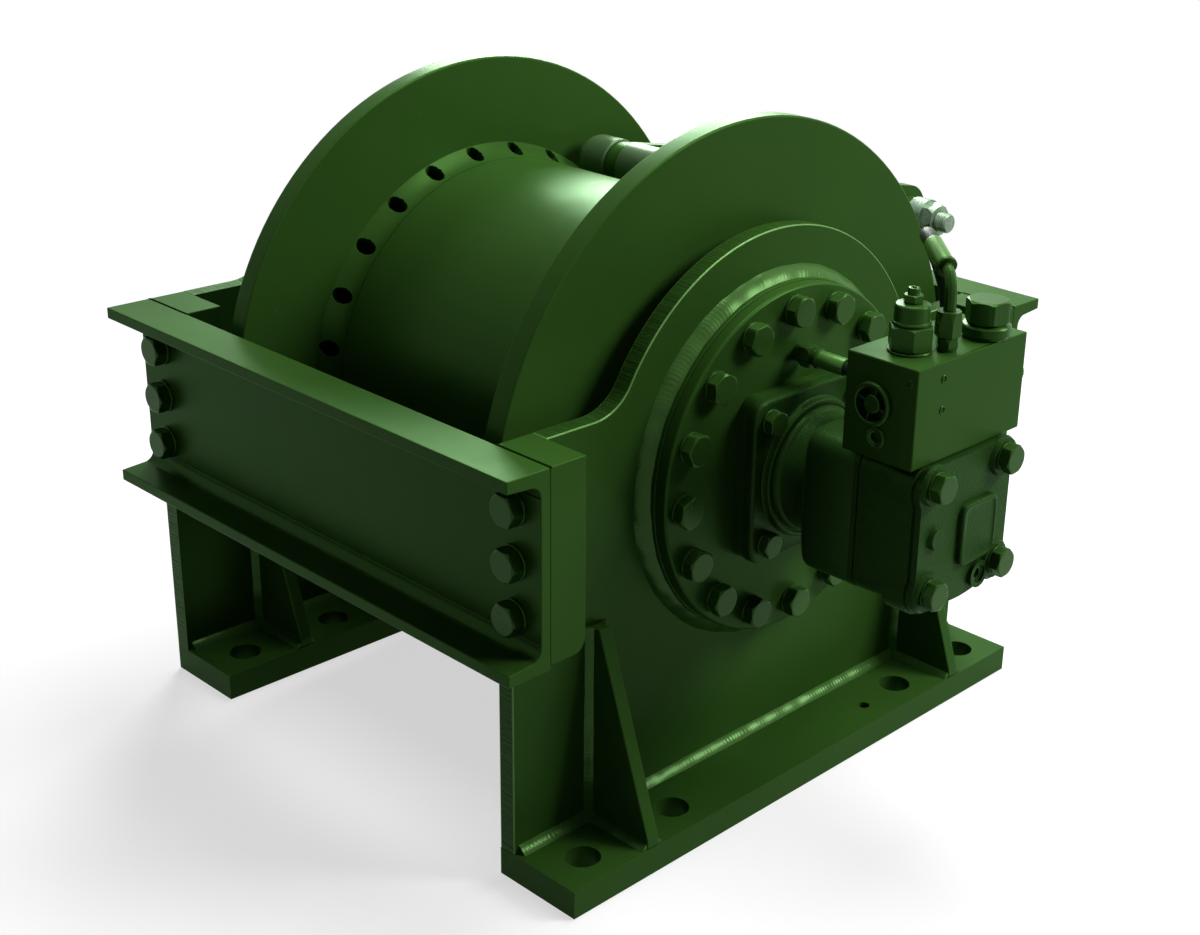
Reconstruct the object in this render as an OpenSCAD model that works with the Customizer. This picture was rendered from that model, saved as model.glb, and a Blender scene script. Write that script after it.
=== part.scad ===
// Hydraulic winch with two welded side frames, a smooth rope drum, a planetary
// gear unit and spring brake inside the drum, and an orbital motor on one side.
// X runs along the drum towards the motor, Y across the frame, Z up. The origin
// is the centre of the anchor bolt pattern, on the floor.

/* [Side frames] */
// Distance between the two rows of anchor bolts
bolt_gauge = 577; // [500:1:700]
// Length of each foot plate and side plate
frame_len = 710; // [680:1:800]
// Thickness of each side plate
plate_t = 20; // [12:1:28]
// Width of each foot plate
foot_w = 106; // [98:1:110]
// Thickness of each foot plate
foot_t = 30; // [20:1:40]
// Height of the shoulders above the floor
shoulder_h = 455; // [430:1:500]
// Height of the drum axis above the floor
axis_h = 358; // [350:1:370]
// Radius of the arch over the gear unit
arch_r = 240; // [225:1:260]
// Radius of the hollow between shoulder and arch
arch_fillet_r = 52; // [30:1:70]
// Distance of the anchor bolts from the inner face of the near plate
anchor_inset = 68; // [62:1:74]
// Diameter of the anchor bolt holes
anchor_d = 36; // [26:1:40]
// Distance of the outer anchor bolts from the ends of a foot
anchor_edge = 46; // [40:1:60]
// Span of the inner anchor bolts along a foot
anchor_inner = 370; // [300:1:420]
// Diameter of the locating hole in each foot
locating_d = 13; // [8:1:16]
// Distance of the locating hole behind the drum axis
locating_y = 120; // [40:1:140]
// Thickness of each gusset
gusset_t = 15; // [10:1:20]
// Height of each gusset above the foot
gusset_h = 215; // [120:1:240]
// Distance of the gussets from the ends of the frame
gusset_inset = 106; // [98:1:120]
// Width of the flat top of a gusset
gusset_top = 14; // [8:1:24]
// Leg of the weld along the plates
weld_leg = 8; // [4:1:10]

/* [Cross channels] */
// Width of each end block along the drum
block_w = 73; // [60:1:90]
// Depth of each end block
block_d = 43; // [30:1:60]
// Height of each channel
channel_h = 200; // [180:1:220]
// Width of a channel flange
channel_b = 50; // [45:1:70]
// Thickness of the channel web
web_t = 11; // [8:1:14]
// Thickness of a channel flange at its tip
tip_t = 12; // [9:1:14]
// Radius between web and flange
root_r = 12; // [6:1:18]
// Diameter of the frame and cover bolts
bolt_d = 20; // [16:1:22]
// Distance between the bolts at a channel end
bolt_pitch = 54; // [44:1:60]

/* [Rope drum] */
// Clearance between the drum flanges and the cross channels
flange_gap = 12; // [8:1:20]
// Thickness of the drum flanges
flange_t = 24; // [16:1:28]
// Diameter of the drum barrel
barrel_d = 464; // [450:1:480]
// Wall of the drum barrel
barrel_wall = 18; // [14:1:22]
// Width for the rope between the flanges
rope_width = 389; // [360:1:395]
// Gap between the near plate and the drum
drum_gap = 19.5; // [16:0.5:26]
// Diameter of the collar at the far flange
collar_d = 490; // [486:1:510]
// Width of the collar at the far flange
collar_w = 27.5; // [20:0.5:36]
// Number of holes in the collar
collar_holes = 25; // [12:1:30]
// Diameter of the holes in the collar
collar_hole_d = 18; // [10:1:20]
// Pitch circle of the holes in the collar
collar_pcd = 468; // [462:1:470]

/* [Gear unit] */
// Diameter of the seat ring welded into the near plate
seat_d = 376; // [366:1:400]
// Height of the seat ring above the near plate
seat_proud = 16; // [14:0.5:24]
// Diameter of the gear cover
cover_d = 373; // [363:1:376]
// Thickness of the gear cover
cover_t = 14; // [12:0.5:20]
// Pitch circle of the cover bolts
cover_pcd = 327; // [325:1:331]
// Number of cover bolts
cover_bolts = 16; // [8:1:18]
// Gear module
gear_module = 5.5; // [5.3:0.1:5.6]
// Teeth of the sun gear
sun_teeth = 12; // [12:1:12]
// Teeth of each planet
planet_teeth = 24; // [24:1:24]
// Face width of the gears
gear_face = 70; // [50:1:76]
// Thinning of each tooth for backlash
backlash = 0.5; // [0.3:0.05:0.8]
// Diameter of the input shaft
shaft_d = 44; // [40:1:46]
// Number of planets
planets = 3; // [3:1:3]
// Outer radius of the stationary hub
hub_r = 125; // [122:0.5:127]
// Travel of the brake piston
piston_travel = 2; // [1:0.5:3]
// Number of rotating brake discs
brake_discs = 6; // [3:1:6]
// Thickness of a brake disc
disc_t = 3; // [2:0.1:3.2]

/* [Motor] */
// Width of the square motor body
motor_w = 150; // [140:1:156]
// Thickness of the square adapter under the motor
adapter_t = 12; // [8:1:20]
// Width of the motor mounting flange
motor_flange_w = 176; // [168:1:184]
// Thickness of the motor mounting flange
motor_flange_t = 13; // [10:1:18]
// Length of the round motor neck
neck_len = 48; // [36:1:60]
// Radius of the round motor neck
neck_r = 64; // [58:1:70]
// Length of the square bearing housing
housing_len = 65; // [50:1:80]
// Length of the gear section
section_len = 47; // [36:1:60]
// Length of the end cover
end_len = 33; // [26:1:40]
// Span of the four motor tie bolts
tie_span = 110; // [104:1:114]
// Diameter of the motor tie bolts
tie_d = 18; // [14:1:20]
// Span of the four motor flange bolts
motor_bolt_span = 132; // [128:1:138]
// Diameter of the motor flange bolts
motor_bolt_d = 16; // [12:1:18]

/* [Valve block] */
// Length of the valve block along the motor
valve_x = 82; // [76:1:90]
// Width of the valve block
valve_y = 172; // [160:1:184]
// Height of the valve block
valve_z = 98; // [90:1:110]

/* [Brake hose] */
// Outer diameter of the brake hose
hose_d = 15; // [12:0.5:16]
// Diameter of the steel pipe at the upper fitting
pipe_d = 12; // [9:0.5:13]
// Diameter of the crimped sleeves
sleeve_d = 18; // [17:0.5:20]

/* [Press roller] */
// Diameter of the press roller
roller_d = 59.4; // [50:0.1:64]
// Angle of the roller round the drum, from the rear
roller_angle = 53.3; // [50:0.1:58]
// Gap between roller and drum barrel
roller_gap = 0.3; // [0.2:0.05:1]
// Diameter of the roller axle
axle_d = 24; // [18:1:28]
// Distance of each roller arm from the drum flange
arm_x = 63.5; // [50:0.5:75]
// Thickness of each roller arm
arm_t = 16; // [10:1:20]
// Thickness of each lug on the rear channel
lug_t = 12; // [8:1:16]
// Height of the press roller pivot over the shoulders
pivot_rise = 69; // [61:1:80]
// Diameter of the pivot shaft
pivot_d = 24; // [20:1:28]
// Outer diameter of the pivot tube
tube_d = 46; // [40:1:48]
// Wire of the roller springs
wire_d = 6; // [4:0.5:7]
// Turns of each roller spring
spring_turns = 7; // [4:1:8]

/* [Hidden] */
$fn = 72;
e = 0.01;
slip = 0.05;
face_gap = 0.5;

// Stations of the frame
near_x = bolt_gauge / 2 - anchor_inset;
far_x = -bolt_gauge / 2 - anchor_inset;
half_len = frame_len / 2;
anchor_outer = frame_len - 2 * anchor_edge;
gusset_span = frame_len - 2 * gusset_inset;
channel_z = shoulder_h - channel_h;
block_round = 14;
locating_offset = 7;
channel_len = bolt_gauge + block_w;
bolt_head_h = 0.63 * bolt_d;
bolt_af = 1.5 * bolt_d;
washer_t = 3;

// Stations of the drum
near_out = near_x - drum_gap;
near_in = near_out - flange_t;
far_in = near_in - rope_width;
far_out = far_in - flange_t;
flange_r = half_len - flange_gap;
barrel_r = barrel_d / 2;
barrel_in = barrel_r - barrel_wall;
mid_x = (near_in + far_in) / 2;

// Stations of the near side stack
plate_out = near_x + plate_t;
seat_front = plate_out + seat_proud;
cover_front = seat_front + cover_t;
seat_r = seat_d / 2;
seat_bore = hub_r + 16;
hub_flange_r = cover_pcd / 2 + 12;
hub_flange_t = 14;
hub_end = seat_front - 161;
brake_wall = seat_front - 93;
brake_bore = 110;
key_turn = 20;
carrier_t = 20;
carrier_r = hub_r - 3;
gear_end = hub_end - carrier_t - 8;
gear_start = gear_end - gear_face;

// Gears
ring_teeth = sun_teeth + 2 * planet_teeth;
pressure = 25;
centre_d = gear_module * (sun_teeth + planet_teeth) / 2;
ring_root_r = gear_module * ring_teeth / 2 + 1.2 * gear_module;
housing_r = ring_root_r + 14;
housing_near = near_x - 7;
housing_far = gear_start - 22;
end_plate_t = 12;
end_bolt_len = 16;
bearing_w = 24;
bearing_ring = 9;
ball_r = 8.5;
bearing_out = hub_r + 2 * bearing_ring + 2 * ball_r - 2;
pin_r = 20;
carrier_bolt_d = 16;
web_x = hub_end - 22;
web_t2 = 18;
web_bolt_r = (housing_r + barrel_in) / 2;
shaft_r = shaft_d / 2;
spline_r = shaft_r + 22;

// Far side bearing
stub_r = 40;
far_plate_in = far_x + plate_t;
stub_spigot_r = 92;
stub_flange_t = 18;
stub_bolt_r = 130;
far_ball_r = 8;
far_ring = 8;
far_bearing_r = stub_r + 2 * far_ring + 2 * far_ball_r - 2;
far_bearing_w = 26;
far_housing_end = far_out - 14;
far_housing_r = far_bearing_r + 20;
far_foot_r = far_housing_r + 38;
far_opening_r = far_bearing_r + 5;

// Stations of the motor
adapter_front = cover_front + adapter_t;
motor_flange_front = adapter_front + motor_flange_t;
housing_x = motor_flange_front + neck_len;
section_x = housing_x + housing_len;
end_x = section_x + section_len;
end_face = end_x + end_len;
tie_boss_h = 4;
drain_boss_h = tie_boss_h + 0.3;
tie_thread = 24;
valve_low = axis_h + motor_w / 2;
valve_top = valve_low + valve_z;
valve_x0 = end_face - 5 - valve_x;
valve_x1 = valve_x0 + valve_x;

// Stations of the press roller
roller_r = roller_d / 2;
roller_c = barrel_r + roller_r + roller_gap;
roller_y = roller_c * cos(roller_angle);
roller_z = axis_h + roller_c * sin(roller_angle);
pivot_y = half_len + channel_b / 2;
pivot_h = shoulder_h + pivot_rise;
roller_end = 10;

// Points of an arc about c, from angle a0 to a1 in n steps
function arc(c, r, a0, a1, n) = [for (i = [0:n]) let (a = a0 + (a1 - a0) * i / n) c + r * [cos(a), sin(a)]];

// Turns a solid drawn along Z so that it runs along X from x
module along_x(x = 0, y = 0, z = axis_h) {
    translate([x, y, z]) rotate([90, 0, 90]) children();
}

module tube(r1, r0, h, at = 0) {
    translate([0, 0, at]) difference() {
        cylinder(r = r1, h = h);
        translate([0, 0, -1]) cylinder(r = r0, h = h + 2);
    }
}

// A hexagon head bolt that points down Z, with its head above zero
module hex_bolt(d, len, head = 0.63, washer = 0) {
    if (washer > 0) cylinder(d = 1.85 * d, h = washer);
    intersection() {
        translate([0, 0, washer]) cylinder(d = 1.5 * d / cos(30), h = head * d, $fn = 6);
        translate([0, 0, washer]) cylinder(r1 = 0.95 * d, r2 = 0.74 * d, h = head * d + 1.6 * e);
    }
    translate([0, 0, -len]) cylinder(d = d - 2 * slip, h = len + washer + e);
}

module ring_of(n, r, phase = 0) {
    for (i = [0:n - 1]) rotate(phase + i * 360 / n) translate([r, 0, 0]) children();
}

module rounded_square(w, r) {
    square([w - 2 * r, w], center = true);
    square([w, w - 2 * r], center = true);
    for (sx = [-1, 1], sy = [-1, 1]) translate([sx, sy] * (w / 2 - r)) circle(r = r);
}

// Outline of a side plate in the plane across the drum
module side_outline() {
    hollow = [sqrt(pow(arch_r + arch_fillet_r, 2) - pow(shoulder_h + arch_fillet_r - axis_h, 2)),
        shoulder_h + arch_fillet_r];
    touch = atan2(hollow[1] - axis_h, hollow[0]);
    notch = half_len - block_d;
    foot_edge = [[half_len, foot_t], [half_len, channel_z + 5], [notch, channel_z + 5], [notch, shoulder_h]];
    right = concat(foot_edge, arc(hollow, arch_fillet_r, 270, 180 + touch, 8),
        arc([0, axis_h], arch_r, touch, 90, 32));
    left = [for (i = [len(right) - 2:-1:0]) [-right[i][0], right[i][1]]];
    polygon(concat(right, left));
}

// One side plate from x, with a round opening on the drum axis
module side_plate(x, opening_r) {
    color("darkgreen") along_x(x, 0, 0) difference() {
        linear_extrude(plate_t) side_outline();
        translate([0, axis_h, -1]) cylinder(r = opening_r, h = plate_t + 2, $fn = 120);
    }
}

module near_side_plate() {
    side_plate(near_x, seat_r);
}

module far_side_plate() {
    difference() {
        side_plate(far_x, far_opening_r);
        along_x(far_x - 1) ring_of(8, far_foot_r - 17) cylinder(d = 16, h = plate_t + 2);
        along_x(far_x - 1) ring_of(6, far_bearing_r + 15) cylinder(d = 10, h = plate_t + 2);
    }
}

module foot_plates() {
    color("darkgreen") for (x = [near_x, far_x]) difference() {
        translate([x, -half_len, 0]) cube([foot_w, frame_len, foot_t]);
        for (s = [-1, 1], span = [anchor_outer, anchor_inner])
            translate([x + anchor_inset, s * span / 2, -1]) cylinder(d = anchor_d, h = foot_t + 2);
        translate([x + anchor_inset + locating_offset, locating_y, -1])
            cylinder(d = locating_d, h = foot_t + 2);
    }
}

// Two gussets between each side plate and its foot
module gussets() {
    reach = foot_w - plate_t - 1;
    toe = 10;
    color("darkgreen") for (x = [near_x, far_x], s = [-1, 1])
        translate([x + plate_t, s * gusset_span / 2 + gusset_t / 2, foot_t]) rotate([90, 0, 0])
            linear_extrude(gusset_t)
                polygon([[0, 0], [reach, 0], [reach, toe], [gusset_top, gusset_h], [0, gusset_h]]);
}

// Heights of the bolts at a channel end
bolt_heights = [for (i = [-1:1]) channel_z + channel_h / 2 + i * bolt_pitch];

// Outline of the rear block of a side plate, with its lower inner corner rounded
module block_outline() {
    low = channel_z + 5;
    inner = half_len - block_d;
    polygon(concat([[half_len, low], [half_len, shoulder_h], [inner, shoulder_h]],
        arc([inner + block_round, low + block_round], block_round, 180, 270, 8)));
}

// Blocks let into the ends of the side plates, each with tapped holes
module end_blocks() {
    color("darkgreen") for (x = [near_x, far_x], s = [0, 1]) mirror([0, s, 0]) difference() {
        along_x(x, 0, 0) linear_extrude(block_w) block_outline();
        for (z = bolt_heights) translate([x + block_w / 2, half_len + 1, z])
            rotate([90, 0, 0]) cylinder(d = bolt_d, h = bolt_d * 1.6);
    }
}

// Outline of a channel with its web at x = 0 and flanges towards +x
module channel_outline() {
    inner = channel_b - web_t;
    slope = 3;
    difference() {
        square([channel_b, channel_h]);
        difference() {
            polygon([[web_t, tip_t + slope], [channel_b + 1, tip_t],
                [channel_b + 1, channel_h - tip_t], [web_t, channel_h - tip_t - slope]]);
            for (s = [0, 1]) translate([web_t, s * channel_h]) mirror([0, s]) difference() {
                translate([-1, tip_t]) square([root_r + 1, root_r + slope]);
                translate([root_r, tip_t + slope + root_r - slope * root_r / inner]) circle(r = root_r);
            }
        }
    }
}

// A cross channel on side s, with its flanges pointing outwards
module channel(s) {
    color("darkgreen") difference() {
        translate([far_x, s * half_len, channel_z]) mirror([0, s > 0 ? 0 : 1, 0]) rotate([90, 0, 90])
            linear_extrude(channel_len) channel_outline();
        for (x = [far_x, near_x], z = bolt_heights)
            translate([x + block_w / 2, s * (half_len - 1), z]) rotate([-s * 90, 0, 0])
                cylinder(d = bolt_d + 2, h = web_t + 2);
    }
}

module front_channel() {
    channel(-1);
}

module rear_channel() {
    channel(1);
}

module channel_bolts() {
    color("darkgreen") for (s = [-1, 1], x = [far_x, near_x], z = bolt_heights)
        translate([x + block_w / 2, s * (half_len + web_t), z]) rotate([-s * 90, 0, 0])
            hex_bolt(bolt_d, web_t + bolt_d * 1.4, washer = washer_t);
}

// Fillet welds round the seat ring and along the plates
module weld_strip(len) {
    rotate([90, 0, 0]) translate([0, 0, -len / 2]) linear_extrude(len)
        polygon([[0, 0], [weld_leg, 0], [0.55 * weld_leg, 0.55 * weld_leg], [0, weld_leg]]);
}

module frame_welds() {
    leg = 12;
    toe = gusset_t / 2 + weld_leg / 2;
    between = gusset_span - gusset_t - 2 * face_gap;
    outer = half_len - gusset_span / 2 - gusset_t / 2;
    color("green") {
        along_x(plate_out) rotate_extrude($fn = 120)
            polygon([[seat_r, 0], [seat_r + leg, 0], [seat_r + 0.7 * leg, 0.6 * leg], [seat_r, leg]]);
        for (x = [near_x, far_x]) {
            translate([x + plate_t, 0, foot_t]) weld_strip(between);
            for (s = [-1, 1]) translate([x + plate_t, s * (half_len - outer / 2), foot_t])
                weld_strip(outer - 8);
        }
    }
}

module seat_ring() {
    color("darkgreen") along_x(near_x) difference() {
        tube(seat_r, seat_bore, seat_front - near_x);
        translate([0, 0, seat_front - near_x - hub_flange_t])
            cylinder(r = hub_flange_r + slip, h = hub_flange_t + 1);
        ring_of(cover_bolts, cover_pcd / 2, 3)
            translate([0, 0, -1]) cylinder(d = bolt_d, h = seat_front);
    }
}

module gear_cover() {
    pilot_r = 62.5;
    port_r = 117;
    color("darkgreen") along_x(seat_front) difference() {
        rotate_extrude($fn = 144) polygon([[pilot_r, 0], [cover_d / 2, 0],
            [cover_d / 2, cover_t - 2], [cover_d / 2 - 2, cover_t], [pilot_r, cover_t]]);
        ring_of(cover_bolts, cover_pcd / 2, 3)
            translate([0, 0, -1]) cylinder(d = bolt_d + 2, h = cover_t + 2);
        ring_of(4, motor_bolt_span / sqrt(2), 45)
            translate([0, 0, -1]) cylinder(d = motor_bolt_d, h = cover_t + 2);
        translate([0, port_r, -1]) cylinder(d = 13, h = cover_t + 2);
    }
}

module cover_bolts() {
    grip = cover_t + hub_flange_t + 22;
    color("darkgreen") along_x(cover_front) ring_of(cover_bolts, cover_pcd / 2, 3)
        rotate(15) hex_bolt(bolt_d, grip, washer = washer_t);
}

// Two bolts on each side of every planet pin
module carrier_bolt_circle() {
    for (phase = [12, 48]) ring_of(planets, hub_r - 20, phase) children();
}

// Stationary hub of the gear unit, with the brake chamber in it
module gear_hub() {
    len = seat_front - hub_end;
    chamber = seat_front - brake_wall;
    pocket_w = 24;
    color("slategray") along_x(hub_end) difference() {
        union() {
            cylinder(r = hub_r, h = len, $fn = 120);
            translate([0, 0, len - hub_flange_t]) cylinder(r = hub_flange_r, h = hub_flange_t, $fn = 120);
        }
        translate([0, 0, len - chamber]) cylinder(r = brake_bore, h = chamber + 1, $fn = 120);
        for (i = [0:7]) rotate(i * 45 + key_turn) translate([brake_bore - 8, -pocket_w / 2, len - chamber])
            cube([12, pocket_w, chamber + 1]);
        translate([0, 0, -1]) cylinder(r = shaft_r + 16, h = len);
        translate([0, 0, -1]) cylinder(r = hub_r - 40, h = len - chamber - 17);
        carrier_bolt_circle() translate([0, 0, -1]) cylinder(d = carrier_bolt_d, h = 30);
        ring_of(cover_bolts, cover_pcd / 2, 3)
            translate([0, 0, len - hub_flange_t - 1]) cylinder(d = bolt_d + 1, h = hub_flange_t + 2);
    }
}

// Carrier that stands still, with its three planet pins
module planet_carrier() {
    color("gray") along_x(hub_end - carrier_t) {
        difference() {
            cylinder(r = carrier_r, h = carrier_t, $fn = 96);
            translate([0, 0, -1]) cylinder(r = shaft_r + 8, h = carrier_t + 2);
            carrier_bolt_circle() translate([0, 0, -1]) cylinder(d = carrier_bolt_d + 1, h = carrier_t + 2);
        }
        ring_of(planets, centre_d, 90) translate([0, 0, -8 - gear_face - 2])
            cylinder(r = pin_r, h = gear_face + 10 + e);
    }
}

module carrier_bolts() {
    color("dimgray") along_x(hub_end - carrier_t) carrier_bolt_circle()
        mirror([0, 0, 1]) hex_bolt(carrier_bolt_d, carrier_t + 24, head = 0.35);
}

// Steel plates keyed into the hub, one more than the friction discs
module brake_plates() {
    step = disc_t + 0.6;
    key_w = 23;
    color("silver") along_x(brake_wall) for (i = [0:brake_discs])
        translate([0, 0, 0.5 + 2 * i * step]) difference() {
            union() {
                cylinder(r = brake_bore - 1, h = disc_t);
                for (k = [0:7]) rotate(k * 45 + key_turn) translate([0, -key_w / 2, 0]) cube([brake_bore + 3, key_w, disc_t]);
            }
            translate([0, 0, -1]) cylinder(r = spline_r + 6, h = disc_t + 2);
        }
}

module brake_friction_discs() {
    step = disc_t + 0.6;
    color("saddlebrown") along_x(brake_wall) for (i = [0:brake_discs - 1])
        translate([0, 0, 0.5 + (2 * i + 1) * step]) difference() {
            cylinder(r = brake_bore - 4, h = disc_t);
            translate([0, 0, -1]) linear_extrude(disc_t + 2) spline_outline(spline_r + 0.15, 16);
        }
}

// Outline of a spline with n flat teeth
module spline_outline(r, n) {
    polygon([for (i = [0:n - 1], k = [0:3]) let (a = (i + [0, 0.3, 0.5, 0.8][k]) * 360 / n)
        (k < 2 ? r : r - 4) * [cos(a), sin(a)]]);
}

piston_x = brake_wall + 0.5 + (2 * brake_discs + 1) * (disc_t + 0.6) + 0.1;
piston_len = 20;

module brake_piston() {
    color("silver") along_x(piston_x) difference() {
        tube(brake_bore - slip, spline_r + 8, piston_len);
        ring_of(12, (brake_bore + spline_r + 8) / 2) translate([0, 0, piston_len - 8])
            cylinder(r = 9, h = 9);
    }
}

module brake_springs() {
    color("silver") along_x(piston_x + piston_len - 8) ring_of(12, (brake_bore + spline_r + 8) / 2)
        tube(8, 4, seat_front - piston_x - piston_len + 8 - e);
}

// The inner or the outer ring of a ball bearing, with its groove
module bearing_ring(bore_r, ring, ball, w, outer) {
    pitch_r = bore_r + ring + ball - 1;
    inside = outer ? pitch_r + ball - 1 : bore_r + slip;
    difference() {
        tube(outer ? inside + ring - slip : bore_r + ring, inside, w);
        translate([0, 0, w / 2]) rotate_extrude() translate([pitch_r, 0]) circle(r = ball + slip, $fn = 24);
    }
}

module bearing_balls(bore_r, ring, ball, w, n) {
    ring_of(n, bore_r + ring + ball - 1) translate([0, 0, w / 2]) sphere(r = ball, $fn = 24);
}

hub_bearing_x = [hub_end + 6, near_x - 48];
far_bearing_x = far_plate_in + 6;

module bearing_rings_on_frame() {
    color("lightgray") {
        for (x = hub_bearing_x) along_x(x) bearing_ring(hub_r, bearing_ring, ball_r, bearing_w, false);
        along_x(far_bearing_x) bearing_ring(stub_r, far_ring, far_ball_r, far_bearing_w, true);
    }
}

module bearing_rings_on_drum() {
    color("lightgray") {
        for (x = hub_bearing_x) along_x(x) bearing_ring(hub_r, bearing_ring, ball_r, bearing_w, true);
        along_x(far_bearing_x) bearing_ring(stub_r, far_ring, far_ball_r, far_bearing_w, false);
    }
}

module hub_bearing_balls() {
    color("white") for (x = hub_bearing_x) along_x(x) bearing_balls(hub_r, bearing_ring, ball_r, bearing_w, 24);
}

module far_bearing_balls() {
    color("white") along_x(far_bearing_x) bearing_balls(stub_r, far_ring, far_ball_r, far_bearing_w, 14);
}

// Seals of the gear unit at its mouth and of the brake chamber at the shaft
module hub_seal() {
    color("black") along_x(near_x - 18) tube(bearing_out - slip, hub_r + 0.3, 9);
}

module shaft_seal() {
    color("black") along_x(brake_wall - 13) tube(shaft_r + 16 - slip, shaft_r + 0.3, 10);
}

module input_shaft() {
    teeth_len = gear_face + 4;
    color("silver") {
        along_x(gear_start - 1) linear_extrude(teeth_len) gear_outline(sun_teeth, 0);
        along_x(gear_start - 1 + teeth_len - e)
            cylinder(r = shaft_r, h = housing_x - gear_start - teeth_len + e);
        along_x(brake_wall + 2) linear_extrude(piston_x + piston_len - brake_wall) difference() {
            spline_outline(spline_r - 0.15, 16);
            circle(r = shaft_r - e);
        }
    }
}

// Involute of a base circle, as an angle in degrees at radius r
function roll(rb, r) = r <= rb ? 0 : let (a = acos(rb / r)) tan(a) * 180 / PI - a;

// Outline of an outside gear with one tooth centred on the angle turn
module gear_outline(teeth, turn) {
    rp = gear_module * teeth / 2;
    rb = rp * cos(pressure);
    tip = rp + 0.92 * gear_module;
    root = rp - 1.15 * gear_module;
    half = 90 / teeth - backlash / 4 / rp * 180 / PI;
    radii = [for (i = [0:4]) max(rb, root) + (tip - max(rb, root)) * i / 4];
    flank = concat(root < rb ? [[root, half + roll(rb, rp)]] : [],
        [for (r = radii) [r, half + roll(rb, rp) - roll(rb, r)]]);
    n = len(flank);
    polygon([for (t = [0:teeth - 1], i = [0:2 * n - 1])
        let (f = flank[i < n ? i : 2 * n - 1 - i], s = i < n ? -1 : 1,
            a = turn + t * 360 / teeth + s * f[1]) f[0] * [cos(a), sin(a)]]);
}

// Outline of the space inside the ring gear
module ring_space() {
    rp = gear_module * ring_teeth / 2;
    rb = rp * cos(pressure);
    tip = rp - 0.92 * gear_module;
    half = 90 / ring_teeth + backlash / 4 / rp * 180 / PI;
    ring_turn = 90 + (180 * planet_teeth + 90 * sun_teeth + 180) / ring_teeth;
    radii = [for (i = [0:4]) tip + (ring_root_r - tip) * i / 4];
    flank = [for (r = radii) [r, half + roll(rb, rp) - roll(rb, r)]];
    polygon([for (t = [0:ring_teeth - 1], i = [0:9])
        let (f = flank[i < 5 ? i : 9 - i], s = i < 5 ? -1 : 1,
            a = ring_turn + t * 360 / ring_teeth + s * f[1]) f[0] * [cos(a), sin(a)]]);
}

// A planet at its place, turned so that its gaps meet the teeth of the sun
module planet(i) {
    a = 90 + i * 360 / planets;
    turn = 180 + (a * sun_teeth + 180) / planet_teeth;
    color("silver") along_x(gear_start) rotate(a) translate([centre_d, 0, 0]) difference() {
        linear_extrude(gear_face) gear_outline(planet_teeth, turn);
        translate([0, 0, -1]) cylinder(r = pin_r + slip, h = gear_face + 2);
    }
}

module planet_gear_1() {
    planet(0);
}

module planet_gear_2() {
    planet(1);
}

module planet_gear_3() {
    planet(2);
}

// Turning housing with the ring gear cut into it
module ring_gear_housing() {
    len = housing_near - housing_far;
    flange = 16;
    color("slategray") along_x(housing_far) difference() {
        union() {
            cylinder(r = housing_r, h = len, $fn = 120);
            translate([0, 0, web_x - housing_far - flange])
                cylinder(r = barrel_in - 4, h = flange, $fn = 120);
        }
        translate([0, 0, -1]) cylinder(r = ring_root_r + 1, h = gear_start - housing_far - 5, $fn = 120);
        translate([0, 0, gear_start - housing_far - 8]) linear_extrude(gear_face + 16) ring_space();
        translate([0, 0, gear_end - housing_far + 6])
            cylinder(r = bearing_out, h = len, $fn = 120);
        ring_of(12, web_bolt_r) translate([0, 0, web_x - housing_far - flange - 1])
            cylinder(d = 13, h = flange + 2);
        ring_of(12, housing_r - 7, 15) translate([0, 0, -1]) cylinder(d = 6, h = end_bolt_len + 1);
    }
}

module housing_end_plate() {
    color("slategray") along_x(housing_far - end_plate_t) difference() {
        cylinder(r = housing_r, h = end_plate_t, $fn = 120);
        ring_of(12, housing_r - 7, 15) translate([0, 0, -1]) cylinder(d = 7, h = end_plate_t + 2);
    }
}

module drum_web() {
    color("darkgreen") along_x(web_x) difference() {
        tube(barrel_in, housing_r + slip * 4, web_t2);
        ring_of(12, web_bolt_r) translate([0, 0, -1]) cylinder(d = 12, h = web_t2 + 2);
    }
}

module drum_bolts() {
    color("dimgray") {
        along_x(web_x - 16) ring_of(12, web_bolt_r) mirror([0, 0, 1]) hex_bolt(12, 16 + web_t2 - 2);
        along_x(housing_far - end_plate_t) ring_of(12, housing_r - 7, 15) mirror([0, 0, 1]) hex_bolt(6, 26);
        along_x(far_in + stub_flange_t) ring_of(12, stub_bolt_r) hex_bolt(16, stub_flange_t + flange_t - 4);
    }
}

module drum_barrel() {
    x0 = far_in + collar_w;
    color("darkgreen") along_x(x0) tube(barrel_r, barrel_in, near_in - x0, $fn = 144);
}

module near_flange() {
    color("darkgreen") along_x(near_in) difference() {
        rotate_extrude($fn = 180) polygon([[barrel_in, 0], [flange_r - 1.5, 0], [flange_r, 1.5],
            [flange_r, flange_t - 1.5], [flange_r - 1.5, flange_t], [barrel_in, flange_t]]);
    }
}

// Holes through the far flange and its collar, which break out at the barrel
module collar_drills() {
    ring_of(collar_holes, collar_pcd / 2, 66.7) translate([0, 0, -1])
        cylinder(d = collar_hole_d, h = flange_t + collar_w - 1);
}

module far_flange() {
    rim = 1.5;
    bore = stub_spigot_r + slip;
    color("darkgreen") along_x(far_out) difference() {
        rotate_extrude($fn = 180) polygon([[bore, 0], [flange_r - rim, 0], [flange_r, rim],
            [flange_r, flange_t - rim], [flange_r - rim, flange_t], [bore, flange_t]]);
        collar_drills();
        ring_of(12, stub_bolt_r) translate([0, 0, -1]) cylinder(d = 16, h = flange_t + 2);
    }
}

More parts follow.
